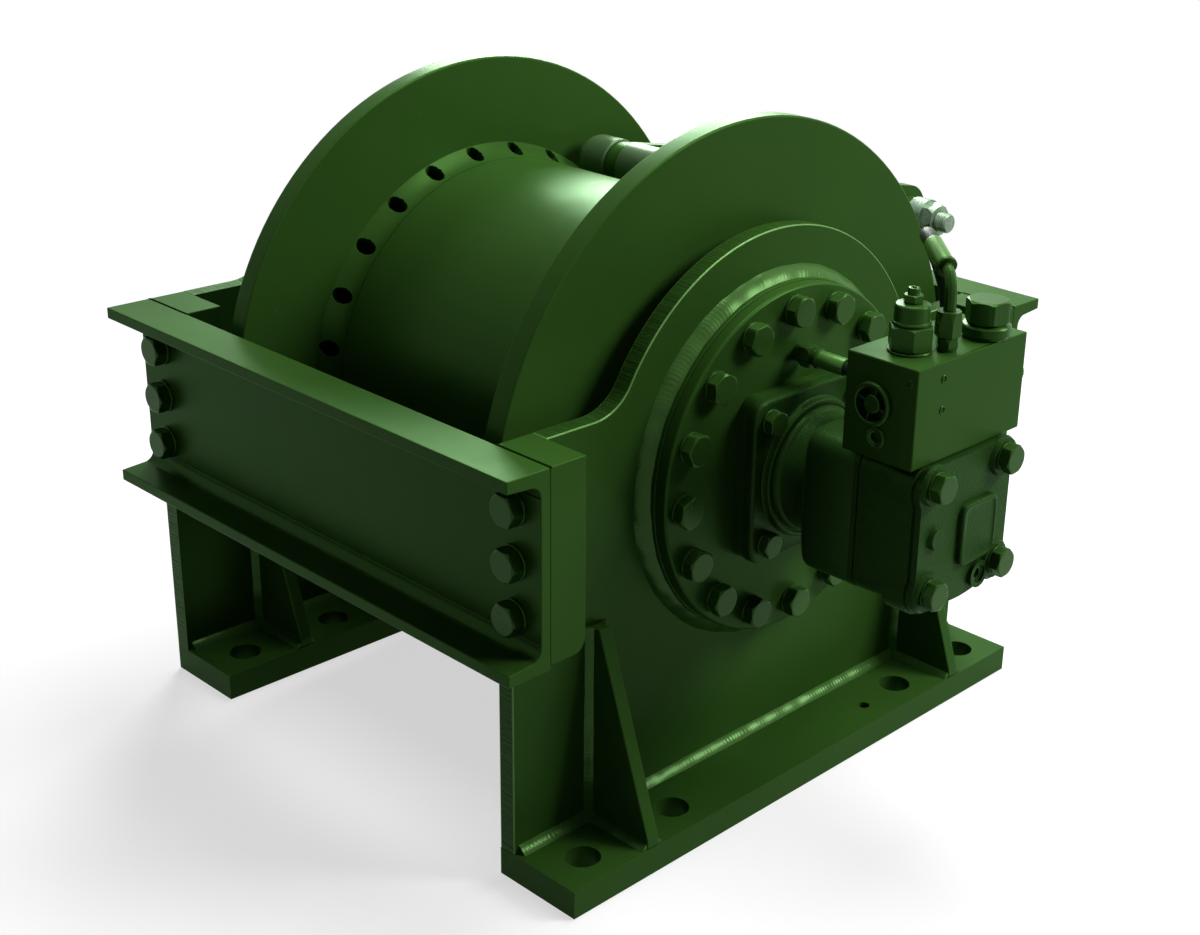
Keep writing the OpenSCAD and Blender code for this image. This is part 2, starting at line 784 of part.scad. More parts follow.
// Collar between the far flange and the barrel, with a hollow run-up for the rope
module flange_collar() {
    hollow = 0.25;
    run_up = [for (i = [0:6]) let (t = i / 6)
        [collar_d / 2 - (collar_d / 2 - barrel_r) * t, flange_t + collar_w * (t - hollow * sin(180 * t))]];
    color("darkgreen") along_x(far_out) difference() {
        rotate_extrude($fn = 180)
            polygon(concat([[barrel_in, flange_t]], run_up, [[barrel_in, flange_t + collar_w]]));
        collar_drills();
    }
}

module stub_shaft() {
    tail = far_x + 4;
    chamfer = 3;
    color("silver") along_x(tail) difference() {
        rotate_extrude() polygon([[0, 0], [stub_r - chamfer, 0], [stub_r, chamfer],
            [stub_r, far_out - 12 - tail], [60, far_out - 12 - tail], [60, far_out - tail],
            [stub_spigot_r, far_out - tail], [stub_spigot_r, far_in - tail], [150, far_in - tail],
            [150, far_in + stub_flange_t - tail], [0, far_in + stub_flange_t - tail]]);
        ring_of(12, stub_bolt_r) translate([0, 0, far_in - tail - 1]) cylinder(d = 17, h = stub_flange_t + 2);
    }
}

module bearing_housing() {
    len = far_housing_end - far_plate_in;
    flange = 18;
    color("darkgreen") along_x(far_plate_in) difference() {
        union() {
            cylinder(r = far_foot_r, h = flange, $fn = 96);
            cylinder(r1 = far_housing_r + 6, r2 = far_housing_r, h = len, $fn = 96);
        }
        translate([0, 0, -1]) cylinder(r = far_bearing_r, h = 6 + far_bearing_w + 1);
        translate([0, 0, -1]) cylinder(r = stub_r + 6, h = len + 2);
        ring_of(8, far_foot_r - 17) translate([0, 0, -1]) cylinder(d = 18, h = flange + 2);
    }
}

module bearing_end_cap() {
    color("darkgreen") along_x(far_x - 10) difference() {
        union() {
            cylinder(r = far_bearing_r + 26, h = 10, $fn = 96);
            translate([0, 0, 10]) cylinder(r = far_opening_r - slip, h = plate_t - 6);
        }
        translate([0, 0, 9]) cylinder(r = stub_r + 8, h = plate_t);
        ring_of(6, far_bearing_r + 15) translate([0, 0, -1]) cylinder(d = 11, h = 12);
    }
}

module bearing_bolts() {
    color("dimgray") {
        along_x(far_plate_in + 18) ring_of(8, far_foot_r - 17) hex_bolt(16, 18 + plate_t - 2);
        along_x(far_x - 10) ring_of(6, far_bearing_r + 15) mirror([0, 0, 1]) hex_bolt(10, 10 + plate_t - 4);
    }
}

// Motor, from the gear cover outwards
module motor_adapter() {
    color("darkgreen") along_x(cover_front) difference() {
        linear_extrude(adapter_t) rounded_square(motor_flange_w, 22);
        translate([0, 0, -1]) cylinder(r = shaft_r + 4, h = adapter_t + 2);
        ring_of(4, motor_bolt_span / sqrt(2), 45) translate([0, 0, -1])
            cylinder(d = motor_bolt_d + 1, h = adapter_t + 2);
    }
}

module motor_housing() {
    flange_r2 = 18;
    color("darkgreen") along_x(adapter_front) difference() {
        union() {
            linear_extrude(motor_flange_t) rounded_square(motor_flange_w, flange_r2);
            translate([0, 0, motor_flange_t - e])
                cylinder(r1 = neck_r + 4, r2 = neck_r, h = neck_len + 2 * e, $fn = 96);
            translate([0, 0, motor_flange_t + neck_len]) linear_extrude(housing_len)
                rounded_square(motor_w, 20);
        }
        translate([0, 0, -1]) cylinder(r = shaft_r + 2, h = motor_flange_t + neck_len + 1);
        translate([0, 0, section_x - adapter_front - tie_thread]) tie_holes(tie_d, tie_thread);
        ring_of(4, motor_bolt_span / sqrt(2), 45) translate([0, 0, -1])
            cylinder(d = motor_bolt_d + 1, h = motor_flange_t + 2);
    }
}

module tie_holes(d, h) {
    for (sx = [-1, 1], sy = [-1, 1]) translate([sx * tie_span / 2, sy * tie_span / 2, -1])
        cylinder(d = d, h = h + 2);
}

module motor_gear_section() {
    plate = 6;
    groove = 1.2;
    color("darkgreen") along_x(section_x) difference() {
        union() {
            linear_extrude(plate) rounded_square(motor_w, 20);
            translate([0, 0, plate - e]) linear_extrude(groove + 2 * e) rounded_square(motor_w - 4, 18);
            translate([0, 0, plate + groove]) linear_extrude(section_len - plate - groove)
                rounded_square(motor_w - 1, 20);
        }
        tie_holes(tie_d + 1, section_len);
    }
}

// Outline of the cast end cover, with a lobe at each bolt and a belly below
module end_cover_outline(grow = 0) {
    lobe_r = 25;
    belly_r = 150;
    belly_drop = 7;
    rounded_square(motor_w + 2 * grow, 20 + grow);
    for (sx = [-1, 1]) {
        translate([sx * tie_span / 2, -tie_span / 2]) circle(r = lobe_r + grow);
        translate([sx * tie_span / 2, motor_w / 2 - lobe_r]) circle(r = lobe_r + grow);
    }
    intersection() {
        translate([0, belly_r - motor_w / 2 - belly_drop]) circle(r = belly_r + grow);
        translate([-motor_w / 3, -motor_w]) square([2 * motor_w / 3, motor_w]);
    }
}

module motor_end_cover() {
    pad = [50, 54, 4];
    step = 8;
    color("darkgreen") along_x(end_x) difference() {
        union() {
            linear_extrude(end_len - step) end_cover_outline();
            translate([0, 0, end_len - step - e]) linear_extrude(step + e) end_cover_outline(-3);
            for (sx = [-1, 1], sy = [-1, 1])
                translate([sx * tie_span / 2, sy * tie_span / 2, end_len - e])
                    cylinder(d1 = 2.3 * tie_d, d2 = 2.1 * tie_d, h = tie_boss_h + e);
            translate([21 - pad[0] / 2, -9.5 - pad[1] / 2, end_len - e]) cube(pad);
            translate([-47, -1, end_len - e]) cylinder(r1 = 12, r2 = 10, h = 5);
            translate([drain_at[0], drain_at[1], end_len - e]) cylinder(r = 14, h = drain_boss_h + e);
        }
        translate([drain_at[0], drain_at[1], end_len - 4]) cylinder(r = 9, h = 5 + drain_boss_h);
        tie_holes(tie_d + 1, end_len + tie_boss_h);
    }
}

module motor_tie_bolts() {
    grip = tie_boss_h + end_len + section_len;
    color("darkgreen") along_x(end_face + tie_boss_h)
        for (sx = [-1, 1], sy = [-1, 1]) translate([sx * tie_span / 2, sy * tie_span / 2, 0])
            rotate(10 * sx) hex_bolt(tie_d, grip + tie_thread - 2, washer = 2);
}

module motor_flange_bolts() {
    color("darkgreen") along_x(motor_flange_front) ring_of(4, motor_bolt_span / sqrt(2), 45)
        rotate(20) hex_bolt(motor_bolt_d, motor_flange_t + adapter_t + cover_t - 1, washer = 2.5);
}

// Places of the pieces on the valve block, from its near top edge
relief_at = [valve_x0 + 40.6, -46];
fitting_at = [valve_x0 + 62, -18];
plug_at = [valve_x0 + 61.8, 45];
cap_at = [valve_x0 + 31, 45];
socket_at = [valve_x0 + 37, 76];
drain_at = [28, -62];

module valve_block() {
    color("darkgreen") difference() {
        translate([valve_x0, -valve_y / 2, valve_low]) cube([valve_x, valve_y, valve_z]);
        translate([relief_at[0], relief_at[1], valve_top - 20]) cylinder(r = 14, h = 21);
        translate([plug_at[0], plug_at[1], valve_top - 16]) cylinder(r = 18, h = 17);
        translate([cap_at[0], -valve_y / 2 - 1, valve_top - cap_at[1]])
            rotate([-90, 0, 0]) cylinder(r = 19, h = 15);
        translate([socket_at[0], -valve_y / 2 - 1, valve_top - socket_at[1]])
            rotate([-90, 0, 0]) cylinder(r = 9, h = 10);
    }
}

module hex_piece(af, h) {
    intersection() {
        cylinder(d = af / cos(30), h = h, $fn = 6);
        cylinder(r1 = af * 0.64, r2 = af * 0.515, h = h * 1.02);
    }
}

module relief_cartridge() {
    color("darkgreen") translate([relief_at[0], relief_at[1], valve_top]) {
        translate([0, 0, -18]) cylinder(r = 13.9, h = 18 + e);
        rotate(15) hex_piece(38, 26);
        translate([0, 0, 26 - e]) cylinder(r = 18.5, h = 2 + e);
        translate([0, 0, 28 - e]) cylinder(r1 = 17, r2 = 16.5, h = 18);
        translate([0, 0, 46 - 2 * e]) rotate(15) hex_piece(17, 9);
        translate([0, 0, 54]) difference() {
            cylinder(r = 5.5, h = 7);
            translate([0, 0, 3]) cylinder(r = 3, h = 5, $fn = 6);
        }
    }
}

// The high plug on top, with a round collar under its hexagon
module collar_plug() {
    translate([0, 0, -14]) cylinder(r = 17.9, h = 14 + e);
    cylinder(r1 = 22, r2 = 24, h = 3);
    translate([0, 0, 3 - e]) cylinder(r = 24, h = 10);
    translate([0, 0, 13 - 2 * e]) rotate(20) hex_piece(38, 24);
}

// A castellated port cap, as a rim with ribs round a middle boss
module port_cap() {
    ribs = 8;
    difference() {
        union() {
            cylinder(r = 22, h = 3);
            translate([0, 0, 3 - e]) cylinder(r = 18.9, h = 10);
        }
        translate([0, 0, -1]) cylinder(r = 16.5, h = 9);
    }
    translate([0, 0, 1]) cylinder(r = 7, h = 8);
    for (i = [0:ribs - 1]) rotate(i * 360 / ribs) translate([9.5, -2, 1.5]) cube([7.2, 4, 7]);
}

// A flush plug with a hexagon socket
module socket_plug(r, depth) {
    difference() {
        union() {
            cylinder(r = r + 2, h = 1.5);
            translate([0, 0, 1.5 - e]) cylinder(r = r - slip, h = depth);
        }
        translate([0, 0, -1]) cylinder(r = 0.55 * r, h = 0.8 * depth, $fn = 6);
    }
}

module valve_plugs() {
    color("darkgreen") {
        translate([plug_at[0], plug_at[1], valve_top]) collar_plug();
        translate([cap_at[0], -valve_y / 2 - 3, valve_top - cap_at[1]]) rotate([-90, 0, 0]) port_cap();
        translate([socket_at[0], -valve_y / 2 - 1.5, valve_top - socket_at[1]])
            rotate([-90, 0, 0]) socket_plug(9, 7);
        translate([valve_x0 + 65, valve_y / 2, valve_top - cap_at[1]]) rotate([-90, 0, 0]) difference() {
            cylinder(r = 13, h = 9);
            for (i = [0:23]) rotate(i * 15) translate([13.3, 0, -1]) cylinder(r = 1, h = 11, $fn = 6);
        }
        along_x(end_face + drain_boss_h + slip + 1.5, drain_at[0], axis_h + drain_at[1]) mirror([0, 0, 1])
            socket_plug(9, 6);
    }
}

port_z = axis_h + 117;
port_end = cover_front + 65;

// Route of the brake hose, from the upper sleeve round to the brake port
sleeve_start = [449, -8, axis_h + 247.5];
sleeve_end = [428, 5, axis_h + 256];
sleeve_way = unit(sleeve_end - sleeve_start);
hose_gap = 0.9;
hose_route = [sleeve_end + hose_gap * sleeve_way, sleeve_end + 6.4 * sleeve_way, [408, 20.5, axis_h + 261.5],
    [392.5, 37, axis_h + 258], [384, 56, axis_h + 245], [380, 76, axis_h + 221], [380.5, 90.5, axis_h + 193],
    [381.5, 96.5, axis_h + 165], [383, 92.8, axis_h + 144.5], [383.7, 81, axis_h + 128.5],
    [383.7, 63, axis_h + 119], [383.7, 43, port_z], [380.5, 26.5, port_z], [371.8, 12.6, port_z],
    [358.2, 3.2, port_z], [port_end + 6.4, 0, port_z], [port_end + hose_gap, 0, port_z]];
pipe_route = [[fitting_at[0], fitting_at[1], valve_top + 34], [463.5, -18, axis_h + 226],
    [461.5, -16.6, axis_h + 236], [457, -13.4, axis_h + 243], sleeve_start, [442.2, -3.8, axis_h + 250.3]];

// A smooth run through the points p with k steps between two of them
function smooth(p, k) = [for (i = [0:len(p) - 2], j = [0:i == len(p) - 2 ? k : k - 1])
    let (a = i == 0 ? 2 * p[0] - p[1] : p[i - 1], b = p[i], c = p[i + 1],
        d = i == len(p) - 2 ? 2 * p[i + 1] - p[i] : p[i + 2], t = j / k)
    b + t / 2 * (c - a + t * (2 * a - 5 * b + 4 * c - d + t * (3 * b - a - 3 * c + d)))];

function unit(v) = v / norm(v);
function square_to(t, v) = unit(v - (v * t) * t);
function headings(p) = [for (i = [0:len(p) - 1]) unit(p[min(i + 1, len(p) - 1)] - p[max(i - 1, 0)])];

// Directions square to the path that are carried along it without twist
function carried(t, v) = [for (i = 0, w = square_to(t[0], v); i < len(t);
    i = i + 1, w = i < len(t) ? square_to(t[i], w) : w) w];

// A round bar of radius r along the path p
module bar(p, r, sides) {
    t = headings(p);
    v = carried(t, [0.3, 1, 0.2]);
    rings = [for (i = [0:len(p) - 1], j = [0:sides - 1]) let (a = j * 360 / sides)
        p[i] + r * (cos(a) * v[i] + sin(a) * cross(t[i], v[i]))];
    last = (len(p) - 1) * sides;
    polyhedron(rings, concat([[for (j = [0:sides - 1]) j]], [[for (j = [sides - 1:-1:0]) last + j]],
        [for (i = [0:len(p) - 2], j = [0:sides - 1]) let (k = (j + 1) % sides)
            each [[i * sides + j, (i + 1) * sides + j, (i + 1) * sides + k],
                [i * sides + j, (i + 1) * sides + k, i * sides + k]]]));
}

module hose_fittings() {
    color("darkgreen") {
        translate([fitting_at[0], fitting_at[1], valve_top]) {
            cylinder(r = 9.5, h = 3);
            translate([0, 0, 3 - e]) rotate(15) hex_piece(19, 10);
            translate([0, 0, 12]) cylinder(r = 7, h = 3);
            translate([0, 0, 14]) rotate(25) hex_piece(22, 24);
        }
        along_x(cover_front, 0, port_z) {
            cylinder(r = 9, h = 8);
            translate([0, 0, 8 - e]) rotate(10) hex_piece(22, 14);
            translate([0, 0, 22 - 2 * e]) cylinder(r = 8, h = 6);
        }
    }
    color("silver") {
        bar(smooth(pipe_route, 4), pipe_d / 2, 12);
        along_x(cover_front + 28 - 3 * e, 0, port_z) cylinder(d = sleeve_d, h = 37);
        bar([sleeve_start, sleeve_end], sleeve_d / 2, 16);
    }
}

module brake_hose() {
    color("black") bar(smooth(hose_route, 4), hose_d / 2, 10);
}

// Stations of the roller frame, measured from the middle of the drum
arm_out = rope_width / 2 - arm_x;
arm_in = arm_out - arm_t;
lug_in = arm_out + 0.3;
lug_out = lug_in + lug_t;
pivot_collar = 20;
nut_h = 16;
pivot_end = lug_out + pivot_collar + nut_h + 15;
arm_turn = atan2(roller_z - pivot_h, roller_y - pivot_y);
arm_len = norm([roller_z - pivot_h, roller_y - pivot_y]);
arm_pivot_r = 34;
arm_roller_r = 27;

// Two lugs welded on the rear channel, which hold the pivot shaft
module roller_lugs() {
    base = channel_b - 2;
    lug_r = 22;
    color("darkgreen") for (x = [mid_x - lug_out, mid_x + lug_in])
        along_x(x, pivot_y, shoulder_h) linear_extrude(lug_t) difference() {
            union() {
                polygon([[-base / 2, 0], [base / 2, 0], [lug_r - 0.4, pivot_h - shoulder_h],
                    [0.4 - lug_r, pivot_h - shoulder_h]]);
                translate([0, pivot_h - shoulder_h]) circle(r = lug_r);
            }
            translate([0, pivot_h - shoulder_h]) circle(r = pivot_d / 2 + slip);
        }
}

module pivot_shaft() {
    chamfer = 2;
    r = pivot_d / 2;
    color("lightgray") along_x(mid_x - pivot_end, pivot_y, pivot_h) rotate_extrude()
        polygon([[0, 0], [r - chamfer, 0], [r, chamfer], [r, 2 * pivot_end - chamfer],
            [r - chamfer, 2 * pivot_end], [0, 2 * pivot_end]]);
}

// Collars and nuts outside the lugs
module pivot_nuts() {
    color("lightgray") along_x(mid_x, pivot_y, pivot_h) for (s = [0, 1]) mirror([0, 0, s]) {
        tube(tube_d / 2, pivot_d / 2 + slip, pivot_collar - slip, lug_out + slip);
        translate([0, 0, lug_out + pivot_collar]) difference() {
            rotate(10) hex_piece(36, nut_h);
            translate([0, 0, -1]) cylinder(r = pivot_d / 2 + slip, h = nut_h + 2);
        }
    }
}

module pivot_tube() {
    color("darkgreen") along_x(mid_x - arm_in, pivot_y, pivot_h)
        tube(tube_d / 2, pivot_d / 2 + slip, 2 * arm_in);
}

// Outline of an arm from the pivot at the origin to the axle along +x
module arm_outline() {
    lean = acos((arm_pivot_r - arm_roller_r) / arm_len);
    difference() {
        union() {
            circle(r = arm_pivot_r);
            translate([arm_len, 0]) circle(r = arm_roller_r);
            polygon([for (s = [-1, 1], i = [0, 1]) let (far = (s < 0) == (i == 0), a = s * lean)
                (far ? [0, 0] : [arm_len, 0]) + (far ? arm_pivot_r : arm_roller_r) * [cos(a), sin(a)]]);
        }
        circle(r = pivot_d / 2 + slip);
        translate([arm_len, 0]) circle(r = axle_d / 2 + slip);
        translate([arm_len / 2, 0]) circle(r = 14);
    }
}

// Arms from the pivot to the roller axle, each with a pin for its spring
module roller_arms() {
    color("darkgreen") along_x(mid_x, pivot_y, pivot_h) for (s = [0, 1]) mirror([0, 0, s])
        rotate(arm_turn) {
            translate([0, 0, arm_in]) linear_extrude(arm_t) arm_outline();
            translate([spring_leg - 8, -(spring_r - wire_d / 2 - 0.3 - spring_pin_r), arm_in - 2 * wire_d])
                cylinder(r = spring_pin_r, h = 2 * wire_d + 4);
        }
}

// Torsion springs round the pivot tube, from the arm to the channel
spring_r = tube_d / 2 + wire_d / 2 + 4;
spring_leg = 62;
spring_pin_r = 4;

module roller_springs() {
    start = arm_turn - 90;
    turn = spring_turns * 360 + start + 20;
    steps = round(turn / 45);
    drop = (pivot_h - shoulder_h - spring_r * sin(20) - wire_d / 2 - 0.6) / cos(20);
    color("silver") along_x(mid_x, pivot_y, pivot_h) for (s = [0, 1]) mirror([0, 0, s])
        bar(concat([concat(spring_leg * [cos(arm_turn), sin(arm_turn)] + spring_r * [cos(start), sin(start)],
                [arm_in - wire_d])],
            [for (i = [0:steps]) let (a = start - turn * i / steps)
                [spring_r * cos(a), spring_r * sin(a), arm_in - wire_d - (wire_d + 1) * turn / 360 * i / steps]],
            [[spring_r * cos(20) - drop * sin(20), -spring_r * sin(20) - drop * cos(20),
                arm_in - wire_d - (wire_d + 1) * turn / 360]]), wire_d / 2, 6);
}

module roller_axle() {
    half = rope_width / 2 - roller_end - 3;
    color("silver") along_x(mid_x - half, roller_y, roller_z) cylinder(r = axle_d / 2, h = 2 * half);
}

// One roller section from x0 to x1, with its end at x1 rounded by end_r
module roller_section(x0, x1, end_r) {
    small_r = 2;
    bore = axle_d / 2 + slip;
    len = x1 - x0;
    translate([0, 0, x0]) rotate_extrude() difference() {
        polygon(concat([[0, 0]], arc([roller_r - small_r, small_r], small_r, -90, 0, 3),
            arc([roller_r - end_r, len - end_r], end_r, 0, 90, 8), [[0, len]]));
        translate([-1, -1]) square([bore + 1, len + 2]);
    }
}

module press_rollers() {
    gap = 2;
    end = rope_width / 2 - roller_end;
    color("lightgray") along_x(mid_x, roller_y, roller_z) {
        roller_section(gap - arm_in, arm_in - gap, 2);
        for (s = [0, 1]) mirror([0, 0, s]) roller_section(arm_out + gap, end, collar_w - roller_end + 2.5);
    }
}

near_side_plate();
far_side_plate();
foot_plates();
gussets();
end_blocks();
front_channel();
rear_channel();
channel_bolts();
frame_welds();
seat_ring();
gear_cover();
cover_bolts();
gear_hub();
planet_carrier();
carrier_bolts();
brake_plates();
brake_piston();
brake_springs();
bearing_rings_on_frame();
bearing_rings_on_drum();
hub_bearing_balls();
far_bearing_balls();
hub_seal();
shaft_seal();
input_shaft();
brake_friction_discs();
planet_gear_1();
planet_gear_2();
planet_gear_3();
ring_gear_housing();
housing_end_plate();
drum_web();
drum_bolts();
drum_barrel();
near_flange();
far_flange();
flange_collar();
stub_shaft();
bearing_housing();
bearing_end_cap();
bearing_bolts();
motor_adapter();
motor_housing();
motor_gear_section();
motor_end_cover();
motor_tie_bolts();
motor_flange_bolts();
valve_block();
relief_cartridge();
valve_plugs();
hose_fittings();
brake_hose();
roller_lugs();
pivot_shaft();
pivot_nuts();
pivot_tube();
roller_arms();
roller_springs();
roller_axle();
press_rollers();
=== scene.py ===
"""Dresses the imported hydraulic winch: finishes for every part, weld beads, hose, springs, threads and the studio."""
import math

import bpy
import numpy as np
from bpy.props import FloatProperty, FloatVectorProperty, IntProperty, PointerProperty
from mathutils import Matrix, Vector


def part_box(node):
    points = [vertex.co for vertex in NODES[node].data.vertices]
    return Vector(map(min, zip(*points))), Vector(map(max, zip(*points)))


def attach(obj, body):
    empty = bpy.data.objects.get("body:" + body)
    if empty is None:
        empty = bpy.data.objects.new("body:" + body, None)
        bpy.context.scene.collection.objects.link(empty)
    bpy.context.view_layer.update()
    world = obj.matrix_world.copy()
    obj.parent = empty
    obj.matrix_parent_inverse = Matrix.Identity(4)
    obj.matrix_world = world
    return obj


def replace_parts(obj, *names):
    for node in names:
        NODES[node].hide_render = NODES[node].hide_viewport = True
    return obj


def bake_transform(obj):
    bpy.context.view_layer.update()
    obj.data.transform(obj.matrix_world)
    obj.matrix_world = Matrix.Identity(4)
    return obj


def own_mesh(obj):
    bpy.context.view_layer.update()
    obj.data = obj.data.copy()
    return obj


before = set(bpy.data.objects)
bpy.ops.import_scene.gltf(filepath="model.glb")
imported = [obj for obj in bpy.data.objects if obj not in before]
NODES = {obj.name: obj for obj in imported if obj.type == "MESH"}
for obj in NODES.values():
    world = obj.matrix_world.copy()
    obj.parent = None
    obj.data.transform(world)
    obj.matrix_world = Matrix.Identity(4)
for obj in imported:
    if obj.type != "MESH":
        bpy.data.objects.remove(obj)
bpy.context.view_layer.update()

bl_info = {
    "name": "Hydraulic winch dressing",
    "version": (1, 0, 0),
    "blender": (4, 5, 0),
    "location": "View3D > Sidebar > Winch",
    "description": "Weld beads, hose, springs, threads, finishes and studio for a hydraulic winch",
    "category": "Object",
}

# Places of the CAD model, in metres. AXIS, PIVOT and AXLE are (y, z).
AXIS = (0.0, 0.358)
PIVOT = (0.380, 0.524)
AXLE = (0.156578, 0.568065)
PLATE_FACES = (0.2405, -0.3365)
FOOT_TOP = 0.030
HALF_LENGTH = 0.355
SHOULDER = 0.455
GUSSET_Y, GUSSET_HALF, GUSSET_TALL, GUSSET_DEEP = 0.249, 0.0075, 0.215, 0.084
SEAT_RADIUS = 0.188
MIDDLE_X = -0.0175
ARM_INNER = 0.115
LUG_FACES, LUG_HALF = (0.1313, 0.1433), 0.023
SHAFT_RADIUS, SHAFT_HALF = 0.012, 0.1943
SLEEVE = ((0.449, -0.008, 0.6055), (0.428, 0.005, 0.614))
PORT_SLEEVE, PORT_SLEEVE_LENGTH = (0.2985, 0.0, 0.475), 0.037
PORT_END = (0.3355, 0.0, 0.475)
HOSE_GAP = 0.0009
COVER_FRONT, FLANGE_FRONT, TIE_SEAT, END_FACE = 0.2705, 0.2955, 0.4925, 0.4885
BLOCK_RIGHT, BLOCK_FRONT, BLOCK_BACK, BLOCK_TOP = 0.4835, -0.086, 0.086, 0.531
FAR_FACE = -0.212
BOLT_COLUMNS, BOLT_ROWS, WEB_FACE = (-0.320, 0.257), (0.301, 0.355, 0.409), 0.366
JOINTS = ((-0.3565, -0.2835), (0.2205, 0.2935))

# Radii of the bolt circles round AXIS, and of the drilled collar: at the flange, at the barrel, and its width
COVER_CIRCLE, FLANGE_CIRCLE, TIE_CIRCLE = 0.1635, 0.09334, 0.07778
COLLAR_OUTER, BARREL, COLLAR_WIDTH, COLLAR_HOLES = 0.245, 0.232, 0.0275, 25

# Hexagon bolts: thread, width over the flats, height of the head and thickness of the washer
M16 = {"size": 0.016, "across": 0.024, "head": 0.0101, "washer": 0.0025}
M18 = {"size": 0.018, "across": 0.027, "head": 0.0113, "washer": 0.002}
M20 = {"size": 0.020, "across": 0.030, "head": 0.0126, "washer": 0.003}

# Camera of the photograph: place, turn in degrees, focal length in mm and shift
CAMERA_PLACE = (1.37431, -1.32881, 1.05990)
CAMERA_TURN = (68.303, -2.23076, 42.25912)
CAMERA_LENS = 54.118
CAMERA_SHIFT = (-0.12042, -0.02022)

# Studio lamps: place, and width across. They face AIM.
LAMPS = {"key": ((2.3, 1.9, 2.4), 1.5), "top": ((0.0, 0.55, 2.75), 1.5), "back": ((-2.2, 2.05, 1.85), 1.6)}
AIM = (0.05, 0.0, 0.33)

# Route of the brake hose, as the CAD model has it
HOSE_POINTS = (
    (0.408, 0.0205, 0.6195), (0.3925, 0.037, 0.616), (0.384, 0.056, 0.603), (0.380, 0.076, 0.579),
    (0.3805, 0.0905, 0.551), (0.3815, 0.0965, 0.523), (0.383, 0.0928, 0.5025), (0.3837, 0.081, 0.4865),
    (0.3837, 0.063, 0.477), (0.3837, 0.043, 0.475), (0.3805, 0.0265, 0.475), (0.3718, 0.0126, 0.475),
    (0.3582, 0.0032, 0.475), (0.3419, 0.0, 0.475),
)


def colour(name, text, value):
    return FloatVectorProperty(name=name, description=text, subtype="COLOR", size=3, min=0, max=1, default=value)


def distance(name, text, value):
    return FloatProperty(name=name, description=text, default=value, min=0, subtype="DISTANCE", unit="LENGTH")


def power(name, text, value):
    return FloatProperty(name=name, description=text, default=value, min=0, unit="POWER")


class WinchColours(bpy.types.PropertyGroup):
    """Colours of the winch's finishes"""

    paint: colour("Paint", "Dark green machine enamel", (0.027, 0.078, 0.012))
    # Doubled, this colour also goes into the side plates' edges, as rubbed paint with a painted highlight
    worn: colour("Worn paint", "Thin, rubbed paint on edges and weld tops", (0.085, 0.155, 0.060))
    cast: colour("Cast paint", "The same enamel on sand castings", (0.020, 0.058, 0.011))
    zinc: colour("Zinc", "Galvanised nuts, collars and shaft", (0.20, 0.29, 0.20))
    roller: colour("Roller", "Grey green press roller", (0.060, 0.115, 0.046))
    steel: colour("Steel", "Ground steel", (0.42, 0.42, 0.41))
    rubber: colour("Rubber", "Hose cover and seals", (0.012, 0.026, 0.011))
    lining: colour("Lining", "Sintered brake lining", (0.16, 0.10, 0.06))


class WinchSizes(bpy.types.PropertyGroup):
    """Sizes of the details that scene pieces add"""

    bead: distance("Bead leg", "Leg of the fillet welds", 0.0085)
    ripple: distance("Bead ripple", "Distance between two ripples of a weld", 0.0045)
    hose: distance("Hose diameter", "Outside diameter of the brake hose", 0.015)
    wire: distance("Spring wire", "Wire of the torsion springs", 0.006)
    coil: distance("Coil radius", "Middle radius of the torsion springs", 0.030)
    turns: IntProperty(name="Spring turns", description="Turns of each torsion spring", default=7, min=3, max=9)
    thread: distance("Thread pitch", "Pitch of the pivot shaft's thread", 0.003)
    edge: distance("Edge radius", "Rounding of flame-cut and sawn edges", 0.0012)


class WinchStudio(bpy.types.PropertyGroup):
    """Studio floor, lamps and world"""

    key: power("Key lamp", "Power of the large lamp", 112)
    top: power("Top lamp", "Power of the overhead lamp", 54)
    back: power("Back lamp", "Power of the lamp behind", 115)
    sky: FloatProperty(
        name="Sky level", description="Even light from all round", default=0.03, min=0, max=1, subtype="FACTOR"
    )
    floor: distance("Floor radius", "Radius of the pale floor", 30)


# Surfaces


